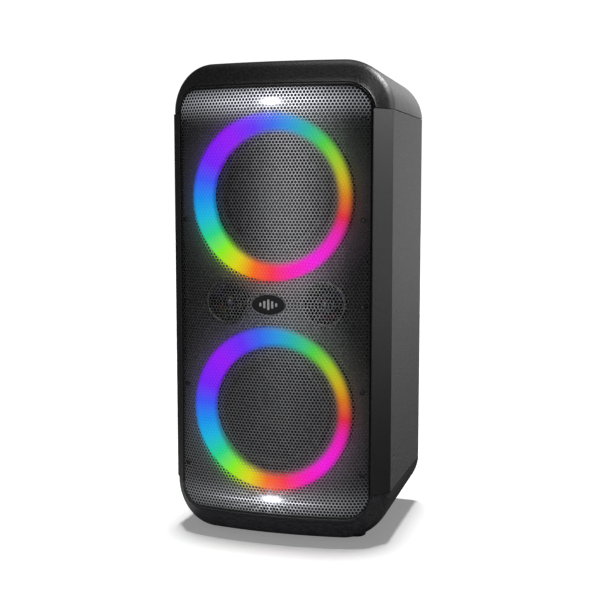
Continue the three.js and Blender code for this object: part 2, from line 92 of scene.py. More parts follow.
FRONT_Y = GRILLE_LOW.y - 0.4
GRILLE_GAP = 0.6
OPENING_HALF_WIDTH = GRILLE_HIGH.x + GRILLE_GAP
OPENING_HALF_HEIGHT = GRILLE_HIGH.z - MID_Z + GRILLE_GAP
OPENING_CORNER = 28.0
GRILLE_BOW = 440.0
GRILLE_SIDE_BOW = 91.0
GRILLE_SIDE_X = 85.0
RIDGE_FRONT_Y = SIDE_FRONT_Y - 24.0
RIDGE_BOW = 480.0
RIDGE_SIDE_GROWTH = 0.00306

PITCH = 4.0
HOLE_RADIUS = 1.86
SHEET = 0.6
GRILLE_RIM = 1.3
EDGE_MARGIN = 0.4
EDGE_INSET = 0.6
GRILLE_SCREW_X = 107.5
GRILLE_SCREW_Z = (210.0, 97.0, -1.5, -100.0, -197.0)

RING_INNER, RING_OUTER = 71.5, 98.0

# The band of light on each ring: the radius of its inner and outer circle, how far each is
# shifted across, its height over its width, how far it sits down, and its soft edge.
GLOW_INNER, GLOW_INNER_SHIFT = 75.2, 5.2
GLOW_OUTER, GLOW_OUTER_SHIFT = 95.4, -2.2
GLOW_TALL = 1.02
GLOW_DROP = 1.6
GLOW_SOFT = 5.0
LOWER_RING_TURN = 0.028
HALO_START = -6.0
WOOFER_Z = middle("upper_light_ring").z - MID_Z
STROBE_Z = middle("upper_strobe_lens").z - MID_Z
TWEETER_X = middle("right_tweeter_horn").x

# Colours round each ring, clockwise from its top: share of a turn and colour.
RING_COLOURS = (
    (0.0, "#3060e8"), (0.04, "#2090d8"), (0.08, "#20b0a0"), (0.125, "#48c840"), (0.17, "#98c420"),
    (0.21, "#c4ac10"), (0.25, "#d07010"), (0.29, "#d82038"), (0.33, "#e410b0"), (0.4, "#ec10d8"),
    (0.455, "#f010b0"), (0.5, "#f03048"), (0.54, "#f06810"), (0.58, "#d8d008"), (0.625, "#80e820"),
    (0.665, "#20d080"), (0.71, "#10b0d8"), (0.75, "#1088e8"), (0.79, "#3850f0"), (0.83, "#7018f0"),
    (0.9, "#9010f0"), (0.96, "#6028f0"), (1.0, "#3060e8"),
)

# The rings' light on the sheet and on the baffle.
SHEET_GLOW_SHIFT = 2.0
SHEET_HALO, SHEET_HALO_REACH = 0.14, 17.0
BAFFLE_HALO, BAFFLE_HALO_REACH = 0.06, 40.0

# The strobes' light: half width, half height and level of each soft oval.
STROBE_CORE = (10.0, 4.0, 1.6)
STROBE_STREAK = (48.0, 2.4, 0.9)
STROBE_RAYS = (34.0, 11.0, 0.8)
STROBE_HAZE = (95.0, 14.5)
HAZE_LEVEL, HAZE_LOST_BELOW = 0.95, 0.6
RAY_PAIRS, RAY_SHARPNESS, RAY_FLATNESS = 6.0, 5.0, 2.6
LENS_GLOW = (9.0, 3.2, 4.0)
LENS_EDGE_GLOW = 0.08

# Soft lamps: name, place in metres, width, height and power.
LAMPS = (
    ("front", (-0.33, -2.0, 0.26), 0.6, 1.5, 11.0),
    ("side", (1.5, 1.0, 0.75), 0.8, 1.6, 6.0),
    ("side_low", (1.3, 1.1, 0.14), 0.6, 0.25, 3.0),
    ("corner", (1.25, 1.1, 1.8), 0.9, 0.8, 40.0),
    ("back", (0.1, 2.4, 0.7), 1.4, 1.4, 7.5),
    ("overhead", (0.0, 0.4, 2.6), 1.2, 1.2, 8.0),
    ("low_fill", (0.1, -1.1, 0.1), 0.7, 0.16, 5.0),
)
AIR_LIGHT = 0.06
FLOOR_GLOW = 0.24
FLOOR_HALF_SIZE = 9000.0

# In reflections and bounce light the floor is dark grey, with a painted pool of light near one place, given
# in metres, out to these distances.
FLOOR_LIGHT_POOL = (-0.25, -0.5, 0.0)
FLOOR_LIGHT_POOL_FULL, FLOOR_LIGHT_POOL_END = 350.0, 750.0
SUN_POWER = 3.4
SUN_WIDTH = 11.0
SUN_TILT = (-3.0, -0.5)

# The camera: its place in metres from the middle of the side panels' front edges, and its
# turns in degrees.
EYE_PLACE = (0.38523, -1.20012, 0.12836)
EYE_DOWN, EYE_TURN = 5.77, 16.75
EYE_LENS = 63.74

# ---- Making meshes ----


def piece(name, vertices, faces):
    """A new object whose mesh is in metres, from vertices in millimetres."""
    mesh = bpy.data.meshes.new(name)
    mesh.from_pydata([Vector(v) * MM for v in vertices], [], faces)
    made = bpy.data.objects.new(name, mesh)
    bpy.context.scene.collection.objects.link(made)
    return made


def mend(made):
    """Merges doubled vertices, drops flat faces and turns a closed shell's faces outwards."""
    bm = bmesh.new()
    bm.from_mesh(made.data)
    bmesh.ops.remove_doubles(bm, verts=bm.verts, dist=0.00001)
    bmesh.ops.dissolve_degenerate(bm, edges=bm.edges, dist=0.000005)
    bmesh.ops.recalc_face_normals(bm, faces=bm.faces)
    bm.to_mesh(made.data)
    bm.free()
    return made


def settle(made):
    """Turns an object's modifiers into plain mesh."""
    graph = bpy.context.evaluated_depsgraph_get()
    mesh = bpy.data.meshes.new_from_object(made.evaluated_get(graph), depsgraph=graph)
    made.modifiers.clear()
    made.data = mesh
    return made


def bevel(made, width, segments=2, angle=30):
    """Rounds the edges sharper than an angle by a width in millimetres."""
    soften = made.modifiers.new("soften", "BEVEL")
    soften.width = width * MM
    soften.segments = segments
    soften.limit_method = "ANGLE"
    soften.angle_limit = math.radians(angle)
    return settle(made)


def join(name, *parts):
    """One object from several, keeping each part's materials."""
    bm = bmesh.new()
    materials = []
    for part in parts:
        offset = {}
        for index, material in enumerate(part.data.materials):
            if material not in materials:
                materials.append(material)
            offset[index] = materials.index(material)
        start = len(bm.faces)
        bm.from_mesh(part.data)
        bm.faces.ensure_lookup_table()
        for face in bm.faces[start:]:
            face.material_index = offset.get(face.material_index, 0)
    mesh = bpy.data.meshes.new(name)
    bm.to_mesh(mesh)
    bm.free()
    for material in materials:
        mesh.materials.append(material)
    for part in parts:
        bpy.data.objects.remove(part)
    made = bpy.data.objects.new(name, mesh)
    bpy.context.scene.collection.objects.link(made)
    return made


def coat(made, material):
    made.data.materials.clear()
    made.data.materials.append(material)
    return made


def show(made, body, slot, *replaced, smooth_below=35):
    """Shades a finished piece and hands it to the frame."""
    for polygon in made.data.polygons:
        polygon.use_smooth = True
    made.data.set_sharp_from_angle(angle=math.radians(smooth_below))
    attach(made, body)
    if replaced:
        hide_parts(*replaced)
    return made


def loft(name, rings, round_trip=True, ends=False):
    """Faces through rings of points. The rings close on themselves unless round_trip is False,
    and ends closes the first and last ring with a flat face."""
    count = len(rings[0])
    faces = []
    for level in range(len(rings) - 1):
        for i in range(count if round_trip else count - 1):
            j = (i + 1) % count
            low, high = level * count, (level + 1) * count
            faces.append((low + i, low + j, high + j, high + i))
    if ends:
        faces.append(tuple(reversed(range(count))))
        faces.append(tuple(range((len(rings) - 1) * count, len(rings) * count)))
    return piece(name, [point for ring in rings for point in ring], faces)


def turned(name, profile, centre, axis="Y", segments=64):
    """A profile of (radius, height) points turned about an axis through a centre. The profile
    starts and ends on the axis, or ends where it starts."""
    rings = []
    for radius, height in profile:
        ring = []
        for i in range(segments):
            angle = math.tau * i / segments
            across, up = radius * math.cos(angle), radius * math.sin(angle)
            if axis == "Y":
                ring.append((centre[0] + across, height, centre[1] + up))
            else:
                ring.append((centre[0] + across, centre[1] + up, height))
        rings.append(ring)
    return mend(loft(name, rings))


def prism(name, outline, axis, low, high):
    """A flat outline carried along an axis. The outline's two numbers are the other two axes."""
    place = {
        "Y": lambda a, b, t: (a, t, b),
        "Z": lambda a, b, t: (a, b, t),
    }[axis]
    rings = [[place(a, b, t) for a, b in outline] for t in (low, high)]
    return mend(loft(name, rings, ends=True))


def rounded(half_width, half_height, radius, steps=8, centre=(0.0, 0.0), edge_steps=1):
    """A rounded rectangle, anticlockwise from its right side."""
    points = []
    for quarter, (side_a, side_b) in enumerate([(1, 1), (-1, 1), (-1, -1), (1, -1)]):
        mid_a = side_a * (half_width - radius)
        mid_b = side_b * (half_height - radius)
        for step in range(steps + 1):
            angle = (quarter + step / steps) * math.pi / 2
            points.append((mid_a + radius * math.cos(angle), mid_b + radius * math.sin(angle)))
        if quarter % 2 == 0:
            for step in range(1, edge_steps):
                points.append((mid_a * (1 - 2 * step / edge_steps), side_b * half_height))
    return [(centre[0] + a, centre[1] + b) for a, b in points]


def arc(radius, start, end, steps, centre=(0.0, 0.0)):
    """Points along an arc, with its angles in degrees."""
    angles = [math.radians(start + (end - start) * i / steps) for i in range(steps + 1)]
    return [(centre[0] + radius * math.cos(a), centre[1] + radius * math.sin(a)) for a in angles]


def cut(made, *tools):
    """Cuts closed tools out of a closed piece."""
    for tool in tools:
        carve = made.modifiers.new("cut", "BOOLEAN")
        carve.operation = "DIFFERENCE"
        carve.solver = "EXACT"
        carve.object = tool
        settle(made)
        bpy.data.objects.remove(tool)
    return made


# ---- The bowed front ----


def grille_y(x):
    """Depth of the grille's front face: a wide arc, then a tighter one near the sides."""
    across = abs(x)
    near = min(across, GRILLE_SIDE_X)
    rise = GRILLE_BOW - math.sqrt(GRILLE_BOW**2 - near**2)
    slope = math.asin(GRILLE_SIDE_X / GRILLE_BOW)
    centre = GRILLE_SIDE_X - GRILLE_SIDE_BOW * math.sin(slope)
    reach = max(across, GRILLE_SIDE_X) - centre
    drop = GRILLE_SIDE_BOW * math.cos(slope) - math.sqrt(GRILLE_SIDE_BOW**2 - reach**2)
    return FRONT_Y + rise + drop


def ridge_y(x):
    """Depth of the line where the front bevel meets the sides."""
    across = abs(x)
    near = min(across, GRILLE_SIDE_X)
    beyond = across - near
    slope = near / RIDGE_BOW
    return RIDGE_FRONT_Y + near * slope / 2 + beyond * slope + RIDGE_SIDE_GROWTH * beyond**2


# ---- Nodes ----


def linear(colour):
    """An sRGB hex colour as linear RGBA."""
    parts = [int(colour[i : i + 2], 16) / 255 for i in (1, 3, 5)]
    return (*[p / 12.92 if p <= 0.04045 else ((p + 0.055) / 1.055) ** 2.4 for p in parts], 1.0)


def feed(tree, node, inputs):
    """Sets or links a node's inputs by name or number."""
    for name, value in inputs.items():
        if isinstance(value, bpy.types.NodeSocket):
            tree.links.new(value, node.inputs[name])
        else:
            node.inputs[name].default_value = value


def add(tree, kind, inputs=None, **settings):
    """Adds a node, sets its properties, and sets or links its inputs."""
    node = tree.nodes.new(kind)
    for name, value in settings.items():
        setattr(node, name, value)
    feed(tree, node, inputs or {})
    return node


def maths(tree, operation, a, b=0.0, clamp=False):
    """The value of one sum on sockets or numbers."""
    return add(tree, "ShaderNodeMath", {0: a, 1: b}, operation=operation, use_clamp=clamp).outputs[0]


def blend_colours(tree, share, first, second):
    return add(tree, "ShaderNodeMix", {0: share, 6: first, 7: second}, data_type="RGBA").outputs[2]


def parts_of(tree, vector):
    """Outputs X, Y and Z of a vector."""
    return add(tree, "ShaderNodeSeparateXYZ", {0: vector}).outputs


def vector_of(tree, x=0.0, y=0.0, z=0.0):
    return add(tree, "ShaderNodeCombineXYZ", {0: x, 1: y, 2: z}).outputs[0]


def ramp(tree, value, stops):
    """A colour ramp with (place, hex colour) stops."""
    node = add(tree, "ShaderNodeValToRGB", {0: value})
    elements = node.color_ramp.elements
    while len(elements) < len(stops):
        elements.new(0.5)
    for element, (place, colour) in zip(elements, stops):
        element.position = place
        element.color = linear(colour)
    return node.outputs[0]


def material(name, colour, roughness, metallic=0.0, **sockets):
    """A principled material. Numbers that are the same all over go straight on its sockets."""
    made = bpy.data.materials.new(name)
    made.use_nodes = True
    made.diffuse_color = linear(colour)
    shader = made.node_tree.nodes["Principled BSDF"]
    shader.inputs["Base Color"].default_value = linear(colour)
    shader.inputs["Roughness"].default_value = roughness
    shader.inputs["Metallic"].default_value = metallic
    for socket, value in sockets.items():
        shader.inputs[socket.replace("_", " ")].default_value = value
    return made, made.node_tree, shader


def grain(tree, shader, size, depth, dark, light, rough=None, stretch=(1.0, 1.0, 1.0), detail=3.0):
    """Gives a surface a grain of a size and depth in millimetres, between two colours, and
    lets its roughness follow the grain between two values."""
    place = add(tree, "ShaderNodeTexCoord").outputs["Object"]
    spread = add(tree, "ShaderNodeMapping", {"Vector": place, "Scale": stretch}).outputs[0]
    noise = add(tree, "ShaderNodeTexNoise", {"Vector": spread, "Scale": 1 / (size * MM), "Detail": detail})
    height = noise.outputs["Fac"]
    colour = ramp(tree, height, [(0.4, dark), (0.6, light)])
    tree.links.new(colour, shader.inputs["Base Color"])
    if rough:
        level = add(tree, "ShaderNodeMapRange", {0: height, 1: 0.3, 2: 0.7, 3: rough[0], 4: rough[1]})
        tree.links.new(level.outputs[0], shader.inputs["Roughness"])
    raised = add(tree, "ShaderNodeBump", {"Strength": 1.0, "Distance": depth * MM, "Height": height})
    tree.links.new(raised.outputs[0], shader.inputs["Normal"])


def grained(name, look, texture, **sockets):
    """A principled material with a grain. look and texture are what material and grain take."""
    made, tree, shader = material(name, *look, **sockets)
    grain(tree, shader, *texture)
    return made


# ---- Materials ----


def satin_moulded_abs():
    """Black ABS from a finely etched mould: a soft, broad highlight on its ridges."""
    return grained(
        "satin_moulded_abs", ("#131315", 0.38), (2.6, 0.25, "#161618", "#2c2c2f", (0.34, 0.5)), IOR=1.53
    )


def grained_moulded_abs():
    """Grey ABS with a fine leather-like mould grain, drawn at 2 mm so that it shows."""
    return grained(
        "grained_moulded_abs", ("#333334", 0.58), (2.0, 0.6, "#212122", "#404041", (0.44, 0.7)), IOR=1.53
    )


def charcoal_moulded_abs():
    """Smooth charcoal ABS trim with a faint matte grain."""
    return grained(
        "charcoal_moulded_abs", ("#19191a", 0.5), (2.4, 0.12, "#0c0c0d", "#161617", (0.54, 0.66)), IOR=1.53
    )


def matte_black_abs():
    """Spark-eroded black ABS, as on sockets and panels."""
    return grained(
        "matte_black_abs", ("#141415", 0.62), (1.2, 0.05, "#111112", "#19191a", (0.55, 0.7)), IOR=1.53
    )


def gloss_black_acrylic():
    """Polished black acrylic over the top controls, with the faintest waviness."""
    return grained(
        "gloss_black_acrylic", ("#0a0a0c", 0.12),
        (24.0, 0.02, "#09090b", "#0c0c0e", (0.1, 0.16)),
        IOR=1.49, Coat_Weight=0.3,
    )


def place_on_front(tree):
    """How far across the front a point is, and how far above its middle."""
    axes = parts_of(tree, add(tree, "ShaderNodeTexCoord").outputs["Object"])
    return axes["X"], maths(tree, "SUBTRACT", axes["Z"], MID_Z * MM)


def above_strobe(tree, up):
    """How far a point is above the upper strobe, or below the lower one."""
    return maths(tree, "SUBTRACT", maths(tree, "ABSOLUTE", up), STROBE_Z * MM)


def ring_light(tree, shift=0.0, reach=20.0):
    """The light of both rings on a surface. Gives its colour, which runs clockwise round each
    ring from its top, how strong the band of light and the haze beyond it are, and the place
    across and up. The band reaches further in on one side, where light also falls on the
    ring's inner wall."""
    across_all, up = place_on_front(tree)
    centre = maths(tree, "MULTIPLY", maths(tree, "SIGN", up), WOOFER_Z * MM)
    above = maths(tree, "ADD", maths(tree, "SUBTRACT", up, centre), GLOW_DROP * MM)
    across = maths(tree, "SUBTRACT", across_all, shift * MM)
    turn = maths(tree, "DIVIDE", maths(tree, "ARCTAN2", across, above), math.tau)
    lower_turn = maths(tree, "MULTIPLY", maths(tree, "LESS_THAN", up, 0.0), LOWER_RING_TURN)
    round_ring = maths(tree, "FRACT", maths(tree, "ADD", maths(tree, "ADD", turn, lower_turn), 1.0))
    colour = ramp(tree, round_ring, RING_COLOURS)

    def distance(offset):
        level = maths(tree, "DIVIDE", above, GLOW_TALL)
        flat = vector_of(tree, maths(tree, "SUBTRACT", across, offset * MM), z=level)
        return add(tree, "ShaderNodeVectorMath", {0: flat}, operation="LENGTH").outputs["Value"]

    from_inner, from_outer = distance(GLOW_INNER_SHIFT), distance(GLOW_OUTER_SHIFT)
    past_inner = fade(tree, from_inner, GLOW_INNER + GLOW_SOFT, GLOW_INNER - GLOW_SOFT)
    within_outer = fade(tree, from_outer, GLOW_OUTER - GLOW_SOFT, GLOW_OUTER + GLOW_SOFT)
    band = maths(tree, "MULTIPLY", past_inner, within_outer)
    before = maths(tree, "SUBTRACT", GLOW_INNER * MM, from_inner)
    beyond = maths(tree, "SUBTRACT", from_outer, GLOW_OUTER * MM)
    halo = fade(tree, maths(tree, "MAXIMUM", before, beyond), HALO_START, reach)
    return colour, band, halo, across_all, up


def fade(tree, value, full, none):
    """1 at full or nearer, falling smoothly to 0 at none, in millimetres."""
    node = add(
        tree,
        "ShaderNodeMapRange",
        {0: value, 1: full * MM, 2: none * MM, 3: 1.0, 4: 0.0},
        interpolation_type="SMOOTHSTEP",
    )
    return node.outputs[0]


def glow_spot(tree, across, up, half_width, half_height, level):
    """A soft oval of light round each strobe, falling off as a bell curve from a level."""
    wide = maths(tree, "POWER", maths(tree, "DIVIDE", across, half_width * MM), 2.0)
    high = maths(tree, "POWER", maths(tree, "DIVIDE", above_strobe(tree, up), half_height * MM), 2.0)
    bell = maths(tree, "EXPONENT", maths(tree, "MULTIPLY", maths(tree, "ADD", wide, high), -1.0))
    return maths(tree, "MULTIPLY", bell, level)


def powder_coated_steel():
    """Perforated steel with a fine grey powder coat. Light from the rings and the strobes
    behind it spills over its webs."""
    made, tree, shader = material("powder_coated_steel", "#7a7a7c", 0.4, 0.9)
    grain(tree, shader, 3.0, 0.02, "#7c7c7e", "#929294", (0.28, 0.35))
    colour, band, halo, across, up = ring_light(tree, SHEET_GLOW_SHIFT, SHEET_HALO_REACH)
    # Over the band of ring light the webs' grey is painted out to near black, so that the painted ring
    # light alone gives them colour.
    plain = shader.inputs["Base Color"].links[0].from_socket
    feed(tree, shader, {"Base Color": blend_colours(tree, band, plain, linear("#0a0a0a"))})
    spill = maths(tree, "MAXIMUM", band, maths(tree, "MULTIPLY", halo, SHEET_HALO))
    ring_glow = blend_colours(tree, spill, linear("#000000"), colour)
    core = glow_spot(tree, across, up, *STROBE_CORE)
    streak = glow_spot(tree, across, up, *STROBE_STREAK)
    lost_below = maths(tree, "MULTIPLY", maths(tree, "LESS_THAN", up, 0.0), HAZE_LOST_BELOW)
    haze_level = maths(tree, "SUBTRACT", HAZE_LEVEL, lost_below)
    haze = glow_spot(tree, across, up, *STROBE_HAZE, haze_level)
    around = maths(tree, "ARCTAN2", maths(tree, "MULTIPLY", above_strobe(tree, up), RAY_FLATNESS), across)
    wave = maths(tree, "COSINE", maths(tree, "MULTIPLY", around, RAY_PAIRS))
    spokes = maths(tree, "POWER", maths(tree, "ABSOLUTE", wave), RAY_SHARPNESS)
    rays = maths(tree, "MULTIPLY", spokes, glow_spot(tree, across, up, *STROBE_RAYS))
    white = maths(tree, "ADD", maths(tree, "ADD", core, maths(tree, "ADD", streak, rays)), haze, clamp=True)
    light = blend_colours(tree, white, ring_glow, linear("#f4f6ff"))
    feed(tree, shader, {"Emission Color": light, "Emission Strength": 1.0})
    return made


def black_painted_edge():
    """The folded edge of the perforated sheet, coloured near black as painted shade for the dark gap round
    the grille.
    """
    return grained(
        "black_painted_edge", ("#111113", 0.5), (3.0, 0.02, "#0f0f10", "#161618", (0.46, 0.58)), IOR=1.5
    )


def lit_acrylic():
    """Smoked, frosted acrylic ring lit from behind by coloured lights that run round it."""
    made, tree, shader = material("lit_acrylic", "#1c1c20", 0.45, IOR=1.49)
    colour, band = ring_light(tree)[:2]
    light = blend_colours(tree, band, linear("#08080a"), colour)
    feed(tree, shader, {"Emission Color": light, "Emission Strength": 1.0})
    grain(tree, shader, 2.0, 0.01, "#1a1a1e", "#202024", (0.4, 0.5))
    return made


def lit_polycarbonate():
    """Clear lens over a white strobe light, brightest at its middle."""
    made, tree, shader = material("lit_polycarbonate", "#2a2c30", 0.15, IOR=1.58)
    level = maths(tree, "ADD", glow_spot(tree, *place_on_front(tree), *LENS_GLOW), LENS_EDGE_GLOW)
    feed(tree, shader, {"Emission Color": linear("#f2f5ff"), "Emission Strength": level})
    return made


def coated_paper():
    """Pressed paper pulp with a black coating: fibres show as a fine soft mottle."""
    return grained("coated_paper", ("#0b0b0c", 0.7), (2.4, 0.08, "#080809", "#101011", (0.6, 0.78)))


def butyl_rubber():
    """Moulded black rubber with a dull bloom."""
    return grained(
        "butyl_rubber", ("#101010", 0.55),
        (2.0, 0.03, "#0d0d0d", "#141414", (0.5, 0.62)),
        IOR=1.52, Sheen_Weight=0.1,
    )


def foot_rubber():
    """Hard black rubber feet with a dull, slightly rough surface."""
    return grained(
        "foot_rubber", ("#161616", 0.75), (1.5, 0.08, "#121212", "#1e1e1e", (0.68, 0.82)), IOR=1.52
    )


def black_baffle():
    """Dark grey moulded baffle, slightly rough, with a little of the rings' light on it."""
    made, tree, shader = material("black_baffle", "#161618", 0.7, IOR=1.5)
    grain(tree, shader, 2.5, 0.06, "#1c1c1e", "#2a2a2c", (0.65, 0.76))
    colour, _, halo, _, _ = ring_light(tree, reach=BAFFLE_HALO_REACH)
    pale = blend_colours(tree, 0.7, colour, linear("#d0d0d8"))
    light = blend_colours(tree, maths(tree, "MULTIPLY", halo, BAFFLE_HALO), linear("#000000"), pale)
    feed(tree, shader, {"Emission Color": light, "Emission Strength": 1.0})
    return made


def painted_pressed_steel():
    """Pressed steel with black semi-gloss paint."""
    return grained(
        "painted_pressed_steel", ("#161618", 0.4, 0.0),
        (4.0, 0.03, "#131315", "#1b1b1d", (0.34, 0.46)),
        Coat_Weight=0.2,
    )


def zinc_plated_steel():
    """Plated steel: bluish grey with uneven brightness."""
    return grained(
        "zinc_plated_steel", ("#9a9da3", 0.34, 1.0), (6.0, 0.01, "#8d9096", "#a8abb0", (0.28, 0.42))
    )


def black_oxide_steel():
    """Screw heads with a black oxide finish."""
    return grained(
        "black_oxide_steel", ("#2a2a2c", 0.38, 0.9), (1.0, 0.01, "#242426", "#323234", (0.34, 0.46))
    )


def sintered_ferrite():
    """Grey-black ceramic magnet, matte and slightly pitted."""
    return grained("sintered_ferrite", ("#2c2c2f", 0.7), (1.8, 0.06, "#262628", "#343437", (0.62, 0.8)))


def enamelled_copper():
    """Close turns of enamelled copper wire, 0.4 mm each, drawn at 1 mm so that they show."""
    return grained(
        "enamelled_copper", ("#b5683a", 0.3, 1.0),
        (1.0, 0.05, "#9c5530", "#c87c4a", (0.25, 0.4), (0.05, 1.0, 0.05)),
    )


def satin_dome_metal():
    """Thin formed aluminium dome with a satin finish and a small bright glint."""
    return grained(
        "satin_dome_metal", ("#7c7e82", 0.2, 1.0), (1.2, 0.005, "#74767a", "#84868a", (0.16, 0.22))
    )


def extruded_aluminium():
    """Plain extruded aluminium with long draw lines."""
    return grained(
        "extruded_aluminium", ("#a9abb0", 0.36, 1.0),
        (1.2, 0.02, "#9b9da2", "#b8babf", (0.3, 0.44), (0.04, 1.0, 1.0)),
    )


def anodised_aluminium():
    """Dark anodised aluminium, with fine upright streaks that catch the light."""
    return grained(
        "anodised_aluminium", ("#3a3a3e", 0.3, 1.0),
        (1.0, 0.01, "#323236", "#444448", (0.24, 0.36), (1.0, 1.0, 0.2)),
    )


def silicone_keypad():
    """Soft matte silicone buttons."""
    return grained(
        "silicone_keypad", ("#222224", 0.68),
        (1.6, 0.02, "#1f1f21", "#272729", (0.62, 0.74)),
        IOR=1.41, Sheen_Weight=0.15,
    )


def gloss_nylon():
    """Polished black nylon on switches and knobs."""
    return grained(
        "gloss_nylon", ("#0e0e10", 0.22), (6.0, 0.01, "#0c0c0e", "#121214", (0.18, 0.28)), IOR=1.53
    )


def nickel_plate():
    """Bright nickel on socket sleeves."""
    return grained(
        "nickel_plate", ("#c2c0ba", 0.18, 1.0), (2.0, 0.005, "#b8b6b0", "#cccac4", (0.14, 0.24))
    )


def solder_mask():
    """Green solder mask over glass cloth; its copper tracks show as paler patches."""
    return grained(
        "solder_mask", ("#155a34", 0.35),
        (5.0, 0.05, "#0f4a2a", "#1e6c40", (0.28, 0.42), (1.0, 1.0, 1.0), 1.0),
        Coat_Weight=0.3,
    )


def shrink_wrap():
    """Blue heat-shrink film over cells, with soft creases."""
    return grained(
        "shrink_wrap", ("#1e4f96", 0.28), (16.0, 0.6, "#1a4686", "#2458a6", (0.24, 0.36)), IOR=1.5
    )


def printed_ink():
    """Pale screen-printed ink for plain symbols and marks."""
    return grained("printed_ink", ("#d4d6d8", 0.5), (1.0, 0.01, "#cccecf", "#dcdee0", (0.45, 0.58)))


def indicator_light():
    """Small lit window round the volume knob."""
    made, tree, shader = material("indicator_light", "#8fd8ff", 0.3)
    grain(tree, shader, 3.0, 0.01, "#86d0f8", "#9ae0ff", (0.25, 0.35))
    feed(tree, shader, {"Emission Color": linear("#6cc8ff"), "Emission Strength": 0.55})
    return made


def black_badge_lacquer():
    """Smooth black lacquer behind the badge's mark."""
    return grained(
        "black_badge_lacquer", ("#101010", 0.5),
        (3.0, 0.01, "#0e0e0e", "#141414", (0.46, 0.56)),
        Specular_IOR_Level=0.25,
    )


def badge_rim_metal():
    """Bright plated rim of the badge."""
    return grained(
        "badge_rim_metal", ("#6c6e72", 0.3, 0.9), (1.5, 0.005, "#646669", "#76787c", (0.25, 0.36))
    )


CAP_PLASTIC = satin_moulded_abs()
SIDE_PLASTIC = grained_moulded_abs()
STRIP_PLASTIC = charcoal_moulded_abs()
PANEL_PLASTIC = matte_black_abs()
GLOSS_PANEL = gloss_black_acrylic()
GRILLE_STEEL = powder_coated_steel()
GRILLE_EDGE = black_painted_edge()
RING_ACRYLIC = lit_acrylic()
STROBE_GLASS = lit_polycarbonate()
CONE_PAPER = coated_paper()
SURROUND_RUBBER = butyl_rubber()
FOOT_RUBBER = foot_rubber()
BAFFLE_BOARD = black_baffle()
BASKET_STEEL = painted_pressed_steel()
PLATED_STEEL = zinc_plated_steel()
SCREW_STEEL = black_oxide_steel()
FERRITE = sintered_ferrite()
COIL_COPPER = enamelled_copper()
DOME_METAL = satin_dome_metal()
HEAT_SINK_METAL = extruded_aluminium()
KNOB_METAL = anodised_aluminium()
KEYPAD = silicone_keypad()
SWITCH_NYLON = gloss_nylon()
SOCKET_NICKEL = nickel_plate()
BOARD_GREEN = solder_mask()
BATTERY_FILM = shrink_wrap()
INK = printed_ink()
INDICATOR = indicator_light()
BADGE_METAL = badge_rim_metal()
BADGE_LACQUER = black_badge_lacquer()

# ---- Geometry Nodes ----


def geometry_tree(name, sizes):
    """A tree with a geometry input, named number inputs and one geometry output."""
    tree = bpy.data.node_groups.new(name, "GeometryNodeTree")
    tree.interface.new_socket("Geometry", in_out="INPUT", socket_type="NodeSocketGeometry")
    for label, value in sizes.items():
        kind = "NodeSocketInt" if isinstance(value, int) else "NodeSocketFloat"
        tree.interface.new_socket(label, in_out="INPUT", socket_type=kind).default_value = value
    tree.interface.new_socket("Geometry", in_out="OUTPUT", socket_type="NodeSocketGeometry")
    return tree, tree.nodes.new("NodeGroupInput"), tree.nodes.new("NodeGroupOutput")


def position(tree):
    return add(tree, "GeometryNodeInputPosition").outputs[0]


def close_tree(tree, group_out, geometry, surface):
    """Ends a tree in real geometry with its material."""
    real = add(tree, "GeometryNodeRealizeInstances", {"Geometry": geometry}).outputs[0]
    welded = add(tree, "GeometryNodeMergeByDistance", {"Geometry": real, "Distance": 0.02 * MM})
    painted = add(tree, "GeometryNodeSetMaterial", {"Geometry": welded.outputs[0], "Material": surface})
    tree.links.new(painted.outputs[0], group_out.inputs[0])


def grow(name, tree, points=((0, 0, 0),), **sizes):
    """Runs a tree on a cloud of points and keeps the result as a plain mesh."""
    made = piece(name, points, [])
    modifier = made.modifiers.new(name, "NODES")
    modifier.node_group = tree
    for item in tree.interface.items_tree:
        key = item.name.replace(" ", "_")
        if item.in_out == "INPUT" and key in sizes:
            modifier[item.identifier] = sizes[key]
    made.update_tag()
    return settle(made)


